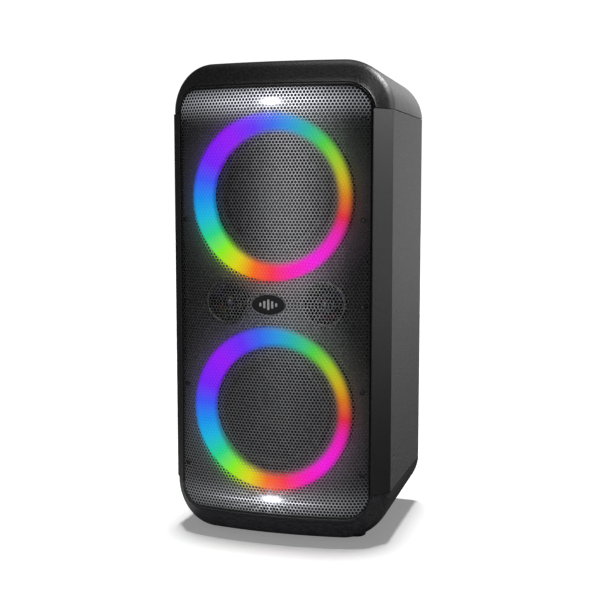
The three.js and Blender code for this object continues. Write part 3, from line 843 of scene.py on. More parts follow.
def perforation_tree():
    """A bowed sheet of round-cornered outline with staggered holes. Each hole is one ring of six
    quads between a hexagonal hole and its hexagonal cell, so that neighbours weld into webs."""
    tree, sizes, group_out = geometry_tree(
        "perforation",
        {
            "Pitch": PITCH * MM,
            "Hole Radius": HOLE_RADIUS * MM,
            "Half Width": OPENING_HALF_WIDTH * MM,
            "Half Height": OPENING_HALF_HEIGHT * MM,
            "Corner": OPENING_CORNER * MM,
            "Sheet": SHEET * MM,
            "Side": 1.0,
        },
    )
    value = {socket.name: socket for socket in sizes.outputs}
    row_pitch = maths(tree, "MULTIPLY", value["Pitch"], math.sqrt(3) / 2)
    columns = maths(tree, "CEIL", maths(tree, "DIVIDE", value["Half Width"], value["Pitch"]))
    rows = maths(tree, "CEIL", maths(tree, "DIVIDE", value["Half Height"], row_pitch))
    pitches_across = maths(tree, "MULTIPLY", columns, 2.0)
    pitches_up = maths(tree, "SUBTRACT", rows, 1.0)
    grid_size = {
        "Size X": maths(tree, "MULTIPLY", pitches_across, value["Pitch"]),
        "Size Y": maths(tree, "MULTIPLY", pitches_up, row_pitch),
        "Vertices X": maths(tree, "ADD", pitches_across, 1.0),
        "Vertices Y": rows,
    }
    grid = add(tree, "GeometryNodeMeshGrid", grid_size).outputs["Mesh"]

    # Rows are counted from the middle of the height, and every second one is staggered.
    spot = parts_of(tree, position(tree))
    half_rows = maths(tree, "DIVIDE", pitches_up, 2.0)
    row = maths(tree, "ROUND", maths(tree, "ADD", maths(tree, "DIVIDE", spot["Y"], row_pitch), half_rows))
    half_pitch = maths(tree, "MULTIPLY", value["Pitch"], 0.5)
    stagger = maths(tree, "MULTIPLY", maths(tree, "MODULO", row, 2.0), half_pitch)
    height = maths(tree, "MULTIPLY", maths(tree, "ADD", row, 0.5), row_pitch)
    up = maths(tree, "MULTIPLY", height, value["Side"])
    lattice = vector_of(tree, maths(tree, "ADD", spot["X"], stagger), up)
    placed = add(tree, "GeometryNodeSetPosition", {"Geometry": grid, "Position": lattice}).outputs[0]

    # Only cells whose middle is inside the rounded outline are kept.
    where = parts_of(tree, position(tree))
    past = []
    for axis, half in (("X", "Half Width"), ("Y", "Half Height")):
        flat = maths(tree, "SUBTRACT", value[half], value["Corner"])
        reach = maths(tree, "SUBTRACT", maths(tree, "ABSOLUTE", where[axis]), flat)
        past.append(maths(tree, "POWER", maths(tree, "MAXIMUM", reach, 0.0), 2.0))
    distance = maths(tree, "SQRT", maths(tree, "ADD", *past))
    inside = maths(tree, "LESS_THAN", distance, maths(tree, "SUBTRACT", value["Corner"], EDGE_MARGIN * MM))

    # A ring of quads: the inner six corners stay on the hole, the outer six move to the cell.
    circle = {"Vertices": 6, "Radius": value["Hole Radius"]}
    hole = add(tree, "GeometryNodeMeshCircle", circle, fill_type="NONE").outputs[0]
    rim = add(tree, "GeometryNodeExtrudeMesh", {"Mesh": hole, "Offset Scale": 0.0}, mode="EDGES")
    index = add(tree, "GeometryNodeInputIndex").outputs[0]
    outer = maths(tree, "GREATER_THAN", index, 5.5)
    reach = maths(tree, "DIVIDE", maths(tree, "DIVIDE", value["Pitch"], math.sqrt(3)), value["Hole Radius"])
    spread = add(tree, "ShaderNodeVectorMath", {0: position(tree), "Scale": reach}, operation="SCALE")
    moved = {"Geometry": rim.outputs["Mesh"], "Selection": outer, "Position": spread.outputs[0]}
    cell = add(tree, "GeometryNodeSetPosition", moved).outputs[0]
    turned_up = {"Geometry": cell, "Rotation": (0, 0, math.pi / 6)}
    upright = add(tree, "GeometryNodeTransform", turned_up).outputs[0]
    copies = {"Points": placed, "Selection": inside, "Instance": upright}
    cells = add(tree, "GeometryNodeInstanceOnPoints", copies).outputs[0]
    real = add(tree, "GeometryNodeRealizeInstances", {"Geometry": cells}).outputs[0]
    weld = {"Geometry": real, "Distance": 0.05 * MM}
    flat_sheet = add(tree, "GeometryNodeMergeByDistance", weld).outputs[0]

    # Cells that cross the outline are pressed back onto it.
    spot = parts_of(tree, position(tree))
    flats, reaches = [], []
    for axis, half in (("X", "Half Width"), ("Y", "Half Height")):
        flat = maths(tree, "SUBTRACT", value[half], value["Corner"])
        size = maths(tree, "ABSOLUTE", spot[axis])
        flats.append(maths(tree, "MINIMUM", size, flat))
        reaches.append(maths(tree, "MAXIMUM", maths(tree, "SUBTRACT", size, flat), 0.0))
    squares = [maths(tree, "MULTIPLY", reach, reach) for reach in reaches]
    length = maths(tree, "MAXIMUM", maths(tree, "SQRT", maths(tree, "ADD", *squares)), 0.01 * MM)
    limit = maths(tree, "SUBTRACT", value["Corner"], EDGE_INSET * MM)
    press = maths(tree, "MINIMUM", maths(tree, "DIVIDE", limit, length), 1.0)
    pressed = []
    for axis, flat, reach in zip("XY", flats, reaches):
        size = maths(tree, "ADD", flat, maths(tree, "MULTIPLY", reach, press))
        pressed.append(maths(tree, "MULTIPLY", size, maths(tree, "SIGN", spot[axis])))
    trimmed = {"Geometry": flat_sheet, "Position": vector_of(tree, *pressed)}
    flat_sheet = add(tree, "GeometryNodeSetPosition", trimmed).outputs[0]

    # The flat sheet stands up and bends back to both sides.
    spot = parts_of(tree, position(tree))
    across = maths(tree, "ABSOLUTE", spot["X"])
    slope = math.asin(GRILLE_SIDE_X / GRILLE_BOW)
    near = maths(tree, "MINIMUM", across, GRILLE_SIDE_X * MM)
    centre = (GRILLE_SIDE_X - GRILLE_SIDE_BOW * math.sin(slope)) * MM
    far = maths(tree, "SUBTRACT", maths(tree, "MAXIMUM", across, GRILLE_SIDE_X * MM), centre)

    def arc_height(reach, radius):
        square = maths(tree, "MULTIPLY", reach, reach)
        return maths(tree, "SQRT", maths(tree, "SUBTRACT", (radius * MM) ** 2, square))

    start = (FRONT_Y + 0.4 + GRILLE_BOW + GRILLE_SIDE_BOW * math.cos(slope)) * MM
    depth = maths(tree, "SUBTRACT", start, arc_height(near, GRILLE_BOW))
    depth = maths(tree, "SUBTRACT", depth, arc_height(far, GRILLE_SIDE_BOW))
    stood = vector_of(tree, spot["X"], depth, maths(tree, "ADD", spot["Y"], MID_Z * MM))
    front = add(tree, "GeometryNodeSetPosition", {"Geometry": flat_sheet, "Position": stood}).outputs[0]
    backwards = vector_of(tree, y=value["Sheet"])
    thicken = {"Mesh": front, "Offset": backwards, "Offset Scale": 1.0, "Individual": False}
    back = add(tree, "GeometryNodeExtrudeMesh", thicken).outputs["Mesh"]
    face = add(tree, "GeometryNodeFlipFaces", {"Mesh": front}).outputs[0]
    both = add(tree, "GeometryNodeJoinGeometry")
    tree.links.new(back, both.inputs[0])
    tree.links.new(face, both.inputs[0])
    close_tree(tree, group_out, both.outputs[0], GRILLE_STEEL)
    return tree


def screw_tree():
    """Low round screw heads with a socket in each, one on every point. They face up, or turn
    about X by the tilt."""
    tree, sizes, group_out = geometry_tree("screws", {"Radius": 3.0 * MM, "Height": 1.6 * MM, "Tilt": 0.0})
    value = {socket.name: socket for socket in sizes.outputs}
    cylinder = {"Vertices": 12, "Radius": value["Radius"], "Depth": value["Height"]}
    shape = add(tree, "GeometryNodeMeshCylinder", cylinder).outputs["Mesh"]
    normal = parts_of(tree, add(tree, "GeometryNodeInputNormal").outputs[0])
    top = maths(tree, "GREATER_THAN", normal["Z"], 0.9)

    # The top is raised to a crown, narrowed to the socket's mouth, and sunk to its floor.
    for share, step in ((0.86, 0.25), (0.5, 0.0), (0.94, -0.6)):
        rise = maths(tree, "MULTIPLY", value["Height"], step)
        push = {"Mesh": shape, "Selection": top, "Offset Scale": rise}
        pushed = add(tree, "GeometryNodeExtrudeMesh", push).outputs
        top = pushed["Top"]
        narrow = {"Geometry": pushed["Mesh"], "Selection": top, "Scale": share}
        shape = add(tree, "GeometryNodeScaleElements", narrow).outputs[0]
    tilt = vector_of(tree, value["Tilt"])
    copies = {"Points": sizes.outputs["Geometry"], "Instance": shape, "Rotation": tilt}
    heads = add(tree, "GeometryNodeInstanceOnPoints", copies).outputs[0]
    close_tree(tree, group_out, heads, SCREW_STEEL)
    return tree


def ridge_tree(surface):
    """Small blocks in a circle, for the grip of a knob or the marks of a dial. The circle lies
    flat, or turns about X by the tilt, and then moves to its place."""
    tree, sizes, group_out = geometry_tree(
        "ridges",
        {
            "Count": 40,
            "Radius": 19.0 * MM,
            "Width": 1.2 * MM,
            "Length": 1.2 * MM,
            "Height": 8.0 * MM,
            "Tilt": 0.0,
            "X": 0.0,
            "Y": 0.0,
            "Z": 0.0,
        },
    )
    value = {socket.name: socket for socket in sizes.outputs}
    circle = {"Vertices": value["Count"], "Radius": value["Radius"]}
    points = add(tree, "GeometryNodeMeshCircle", circle, fill_type="NONE").outputs[0]
    size = vector_of(tree, value["Length"], value["Width"], value["Height"])
    ridge = add(tree, "GeometryNodeMeshCube", {"Size": size}).outputs["Mesh"]
    spot = parts_of(tree, position(tree))
    twist = vector_of(tree, z=maths(tree, "ARCTAN2", spot["Y"], spot["X"]))
    copies = {"Points": points, "Instance": ridge, "Rotation": twist}
    ring = add(tree, "GeometryNodeInstanceOnPoints", copies).outputs[0]
    place = vector_of(tree, value["X"], value["Y"], value["Z"])
    move = {"Geometry": ring, "Translation": place, "Rotation": vector_of(tree, value["Tilt"])}
    placed = add(tree, "GeometryNodeTransform", move).outputs[0]
    close_tree(tree, group_out, placed, surface)
    return tree


def ridge_ring(name, surface, place, count, radius, ridge, upright=False):
    """A ring of ridges round a place, flat or upright to face the back. ridge holds the width,
    length and height of one."""
    sizes = dict(zip("XYZ", place))
    sizes |= dict(zip(("Width", "Length", "Height"), ridge), Radius=radius)
    sizes = {label: size * MM for label, size in sizes.items()}
    return grow(name, ridge_tree(surface), Count=count, Tilt=math.pi / 2 if upright else 0.0, **sizes)


# ---- Cabinet ----


def cap_outline(half_width, half_height, radius, corner_steps=20, edge_steps=28):
    """The part of a rounded outline above the seam, from the right side over to the left."""
    mid_x, mid_z = half_width - radius, half_height - radius
    start = math.asin(max(0.0, (SEAM_Z + SEAM_GAP - mid_z) / radius))
    right = [(mid_x + radius * math.cos(start), SEAM_Z + SEAM_GAP)]
    for step in range(corner_steps + 1):
        angle = start + (math.pi / 2 - start) * step / corner_steps
        right.append((mid_x + radius * math.cos(angle), mid_z + radius * math.sin(angle)))
    edge = [(mid_x * (1 - 2 * step / edge_steps), half_height) for step in range(1, edge_steps)]
    return right + edge + [(-x, z) for x, z in reversed(right)]


def mixed(first, second, share):
    return [tuple(a + (b - a) * share for a, b in zip(p, q)) for p, q in zip(first, second)]


def end_cap(side):
    """A moulded end cap: a bevel round the grille, a soft ridge, the sides and a back wall.
    side is 1 for the top and -1 for the bottom."""

    def ring(outline, depth_at):
        return [(x, depth_at(x), MID_Z + side * z) for x, z in outline]

    def opening(outside=0.0):
        sizes = (OPENING_HALF_WIDTH, OPENING_HALF_HEIGHT, OPENING_CORNER)
        return cap_outline(*[size + outside for size in sizes])

    full = cap_outline(HALF_WIDTH, HALF_HEIGHT, CORNER)
    rear = cap_outline(HALF_WIDTH, HALF_HEIGHT - REAR_DROP, CORNER)
    lip = ring(opening(), lambda x: grille_y(x) + 5.0)
    edge = ring(opening(), lambda x: grille_y(x) + 0.6)
    ridge = ring(full, ridge_y)
    behind = ring(full, lambda x: ridge_y(x) + 16.0)
    rings = [lip, edge]

    # A fine bead runs round the opening.
    for outside, depth in ((0.25, 0.25), (1.2, 0.3)):
        rings.append(ring(opening(outside), lambda x, below=depth: grille_y(x) + below))
    rings += [mixed(edge, ridge, share) for share in (0.09, 0.3, 0.6)]

    # A smooth curve through the ridge: from the bevel, past the corner point, to the side.
    run_in, run_out = mixed(edge, ridge, 0.72), mixed(ridge, behind, 0.75)
    for step in range(11):
        t = step / 10
        rings.append(mixed(mixed(run_in, ridge, t), mixed(ridge, run_out, t), t))
    rings += [mixed(behind, ring(rear, lambda x: CAP_REAR_Y - 4.0), share) for share in (0.0, 0.5, 1.0)]
    for step in range(1, 6):
        angle = step / 5 * math.pi / 2
        inset = 4.0 * (1 - math.cos(angle))
        turned_in = cap_outline(HALF_WIDTH - inset, HALF_HEIGHT - REAR_DROP - inset, CORNER - inset)
        rings.append(ring(turned_in, lambda x, a=angle: CAP_REAR_Y - 4.0 + 4.0 * math.sin(a)))
    last = rings[-1]
    rings.append([(x, y, MID_Z + side * (SEAM_Z + SEAM_GAP)) for x, y, z in last])
    name = "top_cap_shell" if side > 0 else "bottom_cap_shell"
    shell = mend(loft(name, rings, round_trip=False))
    face_outwards(shell)
    wall = shell.modifiers.new("wall", "SOLIDIFY")
    wall.thickness = WALL * MM
    wall.offset = -1.0
    settle(shell)
    return shell


def face_outwards(made):
    """Flips a whole open sheet if most of its faces look towards the cabinet's middle."""
    heart = Vector((0, (FRONT_Y + REAR_Y) / 2, MID_Z)) * MM
    bm = bmesh.new()
    bm.from_mesh(made.data)
    inwards = [face.normal.dot(face.calc_center_median() - heart) < 0 for face in bm.faces]
    if sum(inwards) > len(inwards) / 2:
        bmesh.ops.reverse_faces(bm, faces=bm.faces)
    bm.to_mesh(made.data)
    bm.free()


def top_cap():
    """The top cap with its sunken control tray cut through."""
    centre, (half_width, half_depth) = span("control_panel", "xy")
    shell = end_cap(1)
    floor_z = box("control_panel")[0].z - 3.0
    well = rounded(half_width + 0.3, half_depth + 0.3, 12.0, 8, centre)
    cut(shell, prism("well", well, "Z", floor_z - 1, CAP_HIGH.z + 20))

    # The collar's rings: how far each is outside the tray, and above the roof or on the floor.
    rings = []
    for grow_by, above_roof in ((0.3, None), (0.3, -0.8), (1.1, 0.2), (2.8, -0.8), (2.8, None)):
        outline = rounded(half_width + grow_by, half_depth + grow_by, 12.0 + grow_by, 8, centre)
        if above_roof is None:
            rings.append([(x, y, floor_z) for x, y in outline])
        else:
            rings.append([(x, y, cap_top_z(y) + above_roof) for x, y in outline])
    rings.append(rings[0])
    collar = mend(loft("collar", rings))
    made = join("top_cap_shell", coat(shell, CAP_PLASTIC), coat(collar, CAP_PLASTIC))
    return show(made, "root", "cap_plastic", "top_cap")


def cap_top_z(y):
    """Height of the top cap's roof, which slopes down to the back."""
    share = (y - RIDGE_FRONT_Y) / (CAP_REAR_Y - RIDGE_FRONT_Y)
    return CAP_HIGH.z - REAR_DROP * share


def bottom_cap():
    return show(coat(end_cap(-1), CAP_PLASTIC), "root", "cap_plastic", "bottom_cap")


def side_panel(side):
    """A side panel that turns in at its rear edge to meet the back panel."""
    back_half = box("back_panel")[1].x
    outer = side * HALF_WIDTH
    plan = [(outer, SIDE_FRONT_Y + 0.2)]
    plan += [
        (side * (HALF_WIDTH - 4.0 + 4.0 * math.cos(a)), REAR_Y - 4.0 + 4.0 * math.sin(a))
        for a in [math.radians(10 * i) for i in range(10)]
    ]
    plan += [
        (side * (back_half + 0.4), REAR_Y),
        (side * (back_half + 0.4), REAR_Y - 4.0),
        (side * (HALF_WIDTH - 4.0), REAR_Y - 4.0),
        (side * (HALF_WIDTH - 4.0), SIDE_FRONT_Y + 0.2),
    ]
    name = "right_side" if side > 0 else "left_side"
    panel = prism(name + "_skin", plan, "Z", SIDE_LOW.z, SIDE_HIGH.z)
    bevel(panel, 0.35, 2, 40)
    return show(coat(panel, SIDE_PLASTIC), "root", "side_plastic", name + "_panel", smooth_below=20)


def front_strip(side):
    """A bevelled trim strip between the grille and a side panel, with a soft inner lip."""
    inner = (OPENING_HALF_WIDTH, grille_y(OPENING_HALF_WIDTH) + 0.2)
    outer = (HALF_WIDTH - 0.05, SIDE_FRONT_Y - 0.15)
    plan = [
        inner,
        (inner[0] + 1.2, inner[1]),
        (inner[0] + 1.7, inner[1] + 1.7),
        outer,
        (HALF_WIDTH - 4.0, SIDE_FRONT_Y - 0.15),
        (OPENING_HALF_WIDTH + 2.4, inner[1] + 7.5),
        (OPENING_HALF_WIDTH, inner[1] + 6.0),
    ]
    name = "right_front" if side > 0 else "left_front"
    strip = prism(name + "_trim", [(side * x, y) for x, y in plan], "Z", STRIP_LOW.z, STRIP_HIGH.z)
    bevel(strip, 0.3, 2, 25)
    return show(coat(strip, STRIP_PLASTIC), "root", "strip_plastic", name + "_strip")


def back_panel():
    """The grained back panel, with its hand hole, port holes and the well of the inputs."""
    low, high = box("back_panel")
    corners = [(low.x, low.z), (high.x, low.z), (high.x, high.z), (low.x, high.z)]
    plate = prism("plate", corners, "Y", high.y - 4.0, high.y)
    cup_mid, (cup_width, cup_height) = span("handle_cup")
    hand_hole = rounded(cup_width - CUP_WALL, cup_height - CUP_WALL, 10, 8, cup_mid)
    inputs_mid, (inputs_width, inputs_height) = span("input_panel")
    inputs_hole = rounded(inputs_width + 0.3, inputs_height + 0.3, 8, 8, inputs_mid)
    inputs_collar = rounded(inputs_width + 3.3, inputs_height + 3.3, 11, 8, inputs_mid)
    collar = prism("collar", inputs_collar, "Y", low.y, high.y - 3.9)
    plate = join("back_skin", plate, collar)
    holes = [prism("hole", outline, "Y", 0, 300) for outline in (hand_hole, inputs_hole)]
    for side in ("right", "left"):
        port = middle(f"{side}_bass_port")
        holes.append(prism("port_hole", arc(27, 0, 352.5, 47, (port.x, port.z)), "Y", 0, 300))
    cut(plate, *holes)
    bevel(plate, 0.5, 2, 50)
    return show(coat(plate, SIDE_PLASTIC), "root", "side_plastic", "back_panel", smooth_below=20)


def foot(node):
    """A rubber foot with a rounded edge and a shallow dish underneath."""
    low, high = box(node)
    centre = middle(node)
    radius = (high.x - low.x) / 2
    profile = [(0, low.z + 0.5), (radius - 4.5, low.z + 0.5), (radius - 3.5, low.z)]
    profile += [(radius - 1.2, low.z)]
    profile += [(radius - 1.2 + r, low.z + 1.2 + h) for r, h in arc(1.2, -90, 0, 5)]
    profile += [(radius, high.z), (0, high.z)]
    made = turned(node + "_pad", profile, (centre.x, centre.y), "Z", 48)
    return show(coat(made, FOOT_RUBBER), "root", "foot_rubber", node)


# ---- Front ----


def grille():
    """The perforated sheet, as an upper and a lower half, and its folded rim."""
    tree = perforation_tree()
    shared = {
        "Half_Width": (OPENING_HALF_WIDTH - GRILLE_GAP) * MM,
        "Half_Height": (OPENING_HALF_HEIGHT - GRILLE_GAP) * MM,
        "Corner": (OPENING_CORNER - GRILLE_GAP) * MM,
    }
    for name, side in (("upper_grille_sheet", 1.0), ("lower_grille_sheet", -1.0)):
        sheet = mend(grow(name, tree, Side=side, **shared))
        show(sheet, "root", "grille_steel", "front_grille", smooth_below=20)
    rings = []
    fold = [(0.0, 0.7), (0.35, 0.4), (GRILLE_RIM, 0.4), (GRILLE_RIM, 1.4)]
    fold += [(0.9, 1.4), (0.9, 6.0), (0.0, 6.0)]
    for inset, depth in fold:
        sizes = (OPENING_HALF_WIDTH, OPENING_HALF_HEIGHT, OPENING_CORNER)
        outline = rounded(*[size - GRILLE_GAP - inset for size in sizes], 16, edge_steps=28)
        rings.append([(x, grille_y(x) + depth, MID_Z + z) for x, z in outline])
    rings.append(rings[0])
    # The rim is coloured near black as painted shade for the gap round the grille.
    rim = coat(mend(loft("grille_fold", rings)), GRILLE_EDGE)
    show(rim, "root", "grille_steel", "front_grille")


def grille_screws():
    """Black screws down both edges of the grille, facing forwards."""
    points = []
    for across in (GRILLE_SCREW_X, -GRILLE_SCREW_X):
        points += [(across, grille_y(across) - 0.1, MID_Z + z) for z in GRILLE_SCREW_Z]
    sizes = {"Radius": 2.9 * MM, "Height": 1.0 * MM, "Tilt": math.pi / 2}
    heads = grow("grille_screw_heads", screw_tree(), points, **sizes)
    return show(heads, "root", "plain_steel")


def badge():
    """An oval badge with a plated rim and a plain mark of five rounded bars."""
    (_, centre_z), (half_width, half_height) = span("badge")
    face_y = box("badge")[0].y
    angles = [math.tau * i / 72 for i in range(72)]

    def ovals(*steps):
        rings = []
        for inset, depth in steps:
            wide, tall, y = half_width - inset, half_height - inset, face_y + depth
            rings.append([(wide * math.cos(a), y, centre_z + tall * math.sin(a)) for a in angles])
        return rings

    rim_rings = ovals((0, 1.6), (0, 0.35), (0.3, 0.08), (0.7, 0.0), (1.1, 0.1), (1.4, 0.4), (1.4, 1.6))
    rim = coat(mend(loft("rim", [*rim_rings, rim_rings[0]])), BADGE_METAL)
    face_rings = ovals((1.3, 1.6), (1.3, 0.55), (5.0, 0.42), (9.0, 0.36))
    face = coat(mend(loft("face", face_rings, ends=True)), BADGE_LACQUER)
    bars = []
    for place, height in ((-9.6, 2.2), (-4.8, 4.4), (0.0, 6.2), (4.8, 4.4), (9.6, 2.2)):
        outline = rounded(1.3, height, 1.29, 6, (place, centre_z))
        bars.append(coat(prism("bar", outline, "Y", face_y + 0.12, face_y + 0.8), INK))
    made = join("badge_plate", face, rim, *bars)
    return show(made, "root", "panel_plastic", "badge")


def strobe(name):
    """A clear strobe lens with round corners and a face that steps in at its edge."""
    low, high = box(f"{name}_strobe_lens")
    centre_z = (low.z + high.z) / 2
    rings = []
    for grow_by, depth in ((0.0, high.y - low.y), (0.0, 2.0), (-0.6, 0.6), (-2.0, 0.0)):
        outline = rounded(high.x + grow_by, 6.0 + grow_by, 3.0 + min(grow_by, 0), 6, (0.0, centre_z))
        rings.append([(x, low.y + depth, z) for x, z in outline])
    lens = coat(mend(loft(f"{name}_strobe_window", rings, ends=True)), STROBE_GLASS)
    return show(lens, "root", "strobe_lens", f"{name}_strobe_lens")


def front_baffle():
    """The baffle board with its driver holes, and a thin skirt round its edge."""
    low, high = box("front_baffle")
    board = prism("board", rounded(high.x, (high.z - low.z) / 2, 24, 10, (0.0, MID_Z)), "Y", low.y, high.y)
    holes = [(75, 0, WOOFER_Z), (75, 0, -WOOFER_Z), (24.5, TWEETER_X, 0), (24.5, -TWEETER_X, 0)]
    for radius, x, z in holes:
        cut(board, prism("hole", disc_outline(radius, (x, MID_Z + z), 60), "Y", low.y - 5, high.y + 5))

    # A thin skirt closes the slit between the board and the opening's walls.
    half_width, half_height = OPENING_HALF_WIDTH - 0.5, OPENING_HALF_HEIGHT - 0.5
    outer = rounded(half_width, half_height, OPENING_CORNER - 0.5, 10, (0.0, MID_Z))
    inner = rounded(high.x - 1.0, (high.z - low.z) / 2 - 1.0, 23, 10, (0.0, MID_Z))
    skirt = prism("skirt", outer, "Y", low.y + 1.5, low.y + 4.0)
    cut(skirt, prism("hole", inner, "Y", low.y, high.y))
    made = join("baffle_face", coat(board, BAFFLE_BOARD), coat(skirt, BAFFLE_BOARD))
    return show(made, "root", "baffle_board", "front_baffle")


# ---- Woofers and tweeters ----


def half_roll(inner, outer, front_y, thick, steps=14):
    """Profile of a surround's roll between two radii, bulging forwards."""
    mid, reach = (inner + outer) / 2, (outer - inner) / 2
    angles = [math.pi * i / steps for i in range(steps + 1)]
    top = [(mid - reach * math.cos(a), front_y - reach * math.sin(a)) for a in angles]
    reach -= thick
    under = [(mid - reach * math.cos(a), front_y - reach * math.sin(a)) for a in angles]
    return [*top, *reversed(under), top[0]]


def dome_profile(radius, rim_y, rise):
    """Profile of a dome that bulges forwards, from beside its top to its rim."""
    angles = [math.radians(9 * i) for i in range(1, 11)]
    return [(radius * math.sin(a), rim_y - rise * math.cos(a)) for a in angles]


def woofer(name):
    """Everything of one woofer that shows through the grille, and its light ring."""
    centre_z = MID_Z + WOOFER_Z * (1 if name == "upper" else -1)
    centre = (0.0, centre_z)
    body = f"{name}_cone"

    low, high = box(f"{name}_light_ring")
    inner, outer = RING_INNER, RING_OUTER
    profile = [(outer, high.y), (outer, low.y + 2.0)]
    profile += [(outer - 2.0 + r, low.y + 2.0 - h) for r, h in arc(2.0, 0, 90, 6)]
    profile += [(inner + 2.0 - r, low.y + 2.0 - h) for r, h in reversed(arc(2.0, 0, 90, 6))]
    profile += [(inner, high.y), (outer, high.y)]
    ring = turned(f"{name}_ring_diffuser", profile, centre, segments=128)
    coat(ring, RING_ACRYLIC)
    ring.data.materials.append(PANEL_PLASTIC)
    for polygon in ring.data.polygons:
        if polygon.normal.y > 0.5:
            polygon.material_index = 1
    show(ring, "root", "light_diffuser", f"{name}_light_ring")

    low, high = box(f"{name}_woofer_cone")
    edge = high.x
    profile = [(0.0, low.y + 10.0)]
    profile += dome_profile(26.0, low.y + 19.4, 9.4)
    for i in range(1, 25):
        share = i / 24
        radius = 26.0 + (edge - 26.0) * share
        ripple = 0.22 * math.sin(share * math.tau * 5)
        profile.append((radius, low.y + 19.4 * (1 - share) + ripple * (1 - share)))
    profile += [(edge, low.y + 1.4), (16.4, high.y - 3.0), (14.6, high.y - 3.0)]
    profile += [(14.6, high.y), (14.3, high.y), (14.3, high.y - 4.0)]
    profile += [(23.5, low.y + 20.8), (13.0, low.y + 14.2), (0.0, low.y + 11.6)]
    cone = turned(f"{name}_paper_cone", profile, centre, segments=96)
    show(coat(cone, CONE_PAPER), body, "cone_paper", f"{name}_woofer_cone")

    low, high = box(f"{name}_woofer_surround")
    roll = turned("roll", half_roll(edge + 0.3, high.x, high.y, 0.9), centre, segments=96)
    coat(roll, SURROUND_RUBBER)

    # A lip behind the cone's edge keeps the slit closed when the cone moves in.
    foot = edge + 0.3
    profile = [(foot, high.y), (foot + 0.6, high.y), (foot + 0.6, high.y + 7.1), (foot - 4.7, high.y + 9.9)]
    profile += [(foot - 4.9, high.y + 9.3), (foot, high.y + 6.5), (foot, high.y)]
    lip = coat(turned("lip", profile, centre, segments=96), SURROUND_RUBBER)
    show(join(f"{name}_roll", roll, lip), "root", "surround_rubber", f"{name}_woofer_surround")


def tweeter(side):
    """A small horn with a satin dome."""
    name = "right" if side > 0 else "left"
    node = f"{name}_tweeter_horn"
    low, high = box(node)
    centre = (middle(node).x, middle(node).z)
    mouth = (high.x - low.x) / 2
    profile = [(0, high.y), (20, high.y), (20, high.y - 16), (24, high.y - 18.9), (mouth, high.y - 18.9)]
    profile += [(mouth, low.y + 0.6), (mouth - 0.6, low.y + 0.1), (mouth - 2.5, low.y)]
    for i in range(1, 15):
        share = i / 14
        profile.append((mouth - 2.5 - 15.0 * share, low.y + 11.0 * (share**1.6)))
    profile += [(9.2, low.y + 11.0), (9.2, high.y - 6.0), (0, high.y - 6.0)]
    horn = turned(f"{name}_horn_flare", profile, centre, segments=64)
    show(coat(horn, SWITCH_NYLON), "root", "panel_plastic", node)
    low, high = box(f"{name}_tweeter_dome")
    radius = (high.x - low.x) / 2
    profile = [(0, low.y)]
    profile += dome_profile(radius * 0.86, high.y - 2.4, high.y - 2.4 - low.y)
    profile += [(radius, high.y - 1.6), (radius, high.y), (0, high.y)]
    dome = turned(f"{name}_dome_skin", profile, centre, segments=48)
    show(coat(dome, DOME_METAL), f"{name}_dome", "dome_aluminium", f"{name}_tweeter_dome")


# ---- Symbols ----


def disc_outline(radius, centre, steps=24):
    return arc(radius, 0, 360 - 360 / steps, steps - 1, centre)


def bar_outline(centre, width, height, angle=0.0):
    """A rectangle turned by an angle in degrees."""
    turn = math.radians(angle)
    cos, sin = math.cos(turn), math.sin(turn)
    half_a, half_b = width / 2, height / 2
    corners = [(half_a, half_b), (-half_a, half_b), (-half_a, -half_b), (half_a, -half_b)]
    return [(centre[0] + a * cos - b * sin, centre[1] + a * sin + b * cos) for a, b in corners]


def arc_outline(radius, thick, start, end, centre, steps=16):
    outer = arc(radius + thick / 2, start, end, steps, centre)
    inner = arc(radius - thick / 2, start, end, steps, centre)
    return outer + inner[::-1]


def arrow_outline(centre, size, way=1):
    """A triangle that points right, or left where way is -1."""
    a, b = centre
    back, tip = a - way * size * 0.5, a + way * size * 0.6
    return [(back, b - size * 0.6), (tip, b), (back, b + size * 0.6)]


def power_symbol(a, b):
    return [arc_outline(2.4, 0.7, 125, 415, (a, b)), bar_outline((a, b + 2.2), 0.7, 2.8)]


def light_symbol(a, b):
    rays = []
    for i in range(8):
        angle = math.radians(45 * i)
        rays.append(bar_outline((a + 2.7 * math.cos(angle), b + 2.7 * math.sin(angle)), 1.3, 0.5, 45 * i))
    return [disc_outline(1.3, (a, b)), *rays]


def skip_symbol(a, b, way):
    return [
        arrow_outline((a - way * 1.4, b), 2.5, way),
        arrow_outline((a + way * 1.1, b), 2.5, way),
        bar_outline((a + way * 3.1, b), 0.6, 3.2),
    ]


def play_symbol(a, b):
    bars = [bar_outline((a + across, b), 0.7, 3.4) for across in (1.6, 3.0)]
    return [arrow_outline((a - 1.2, b), 3.0), *bars]


def microphone_symbol(a, b):
    return [
        rounded(1.2, 2.2, 1.15, 5, (a, b + 1.2)),
        arc_outline(2.2, 0.5, 190, 350, (a, b + 0.6)),
        bar_outline((a, b - 2.4), 0.5, 1.6),
        bar_outline((a, b - 3.3), 2.6, 0.5),
    ]


def wave_symbol(a, b):
    talls = ((-2, 1.2), (-1, 3.0), (0, 4.2), (1, 3.0), (2, 1.2))
    return [bar_outline((a + 1.2 * i, b), 0.55, tall) for i, tall in talls]


def bolt_symbol(a, b):
    return [
        [(a + 0.7, b + 3.0), (a - 1.5, b - 0.4), (a - 0.1, b - 0.4)],
        [(a - 0.7, b - 3.0), (a + 1.5, b + 0.4), (a + 0.1, b + 0.4)],
    ]


def stick_symbol(a, b):
    return [rounded(2.8, 1.2, 0.4, 3, (a - 0.6, b)), bar_outline((a + 3.2, b), 1.2, 1.5)]


def print_symbols(name, outlines, axis, surface):
    """Screen-printed symbols: a thin layer of ink on a flat face."""
    layers = [prism("ink", outline, axis, surface - 0.15, surface + 0.1) for outline in outlines]
    return coat(join(name, *layers), INK)


# ---- Back ----


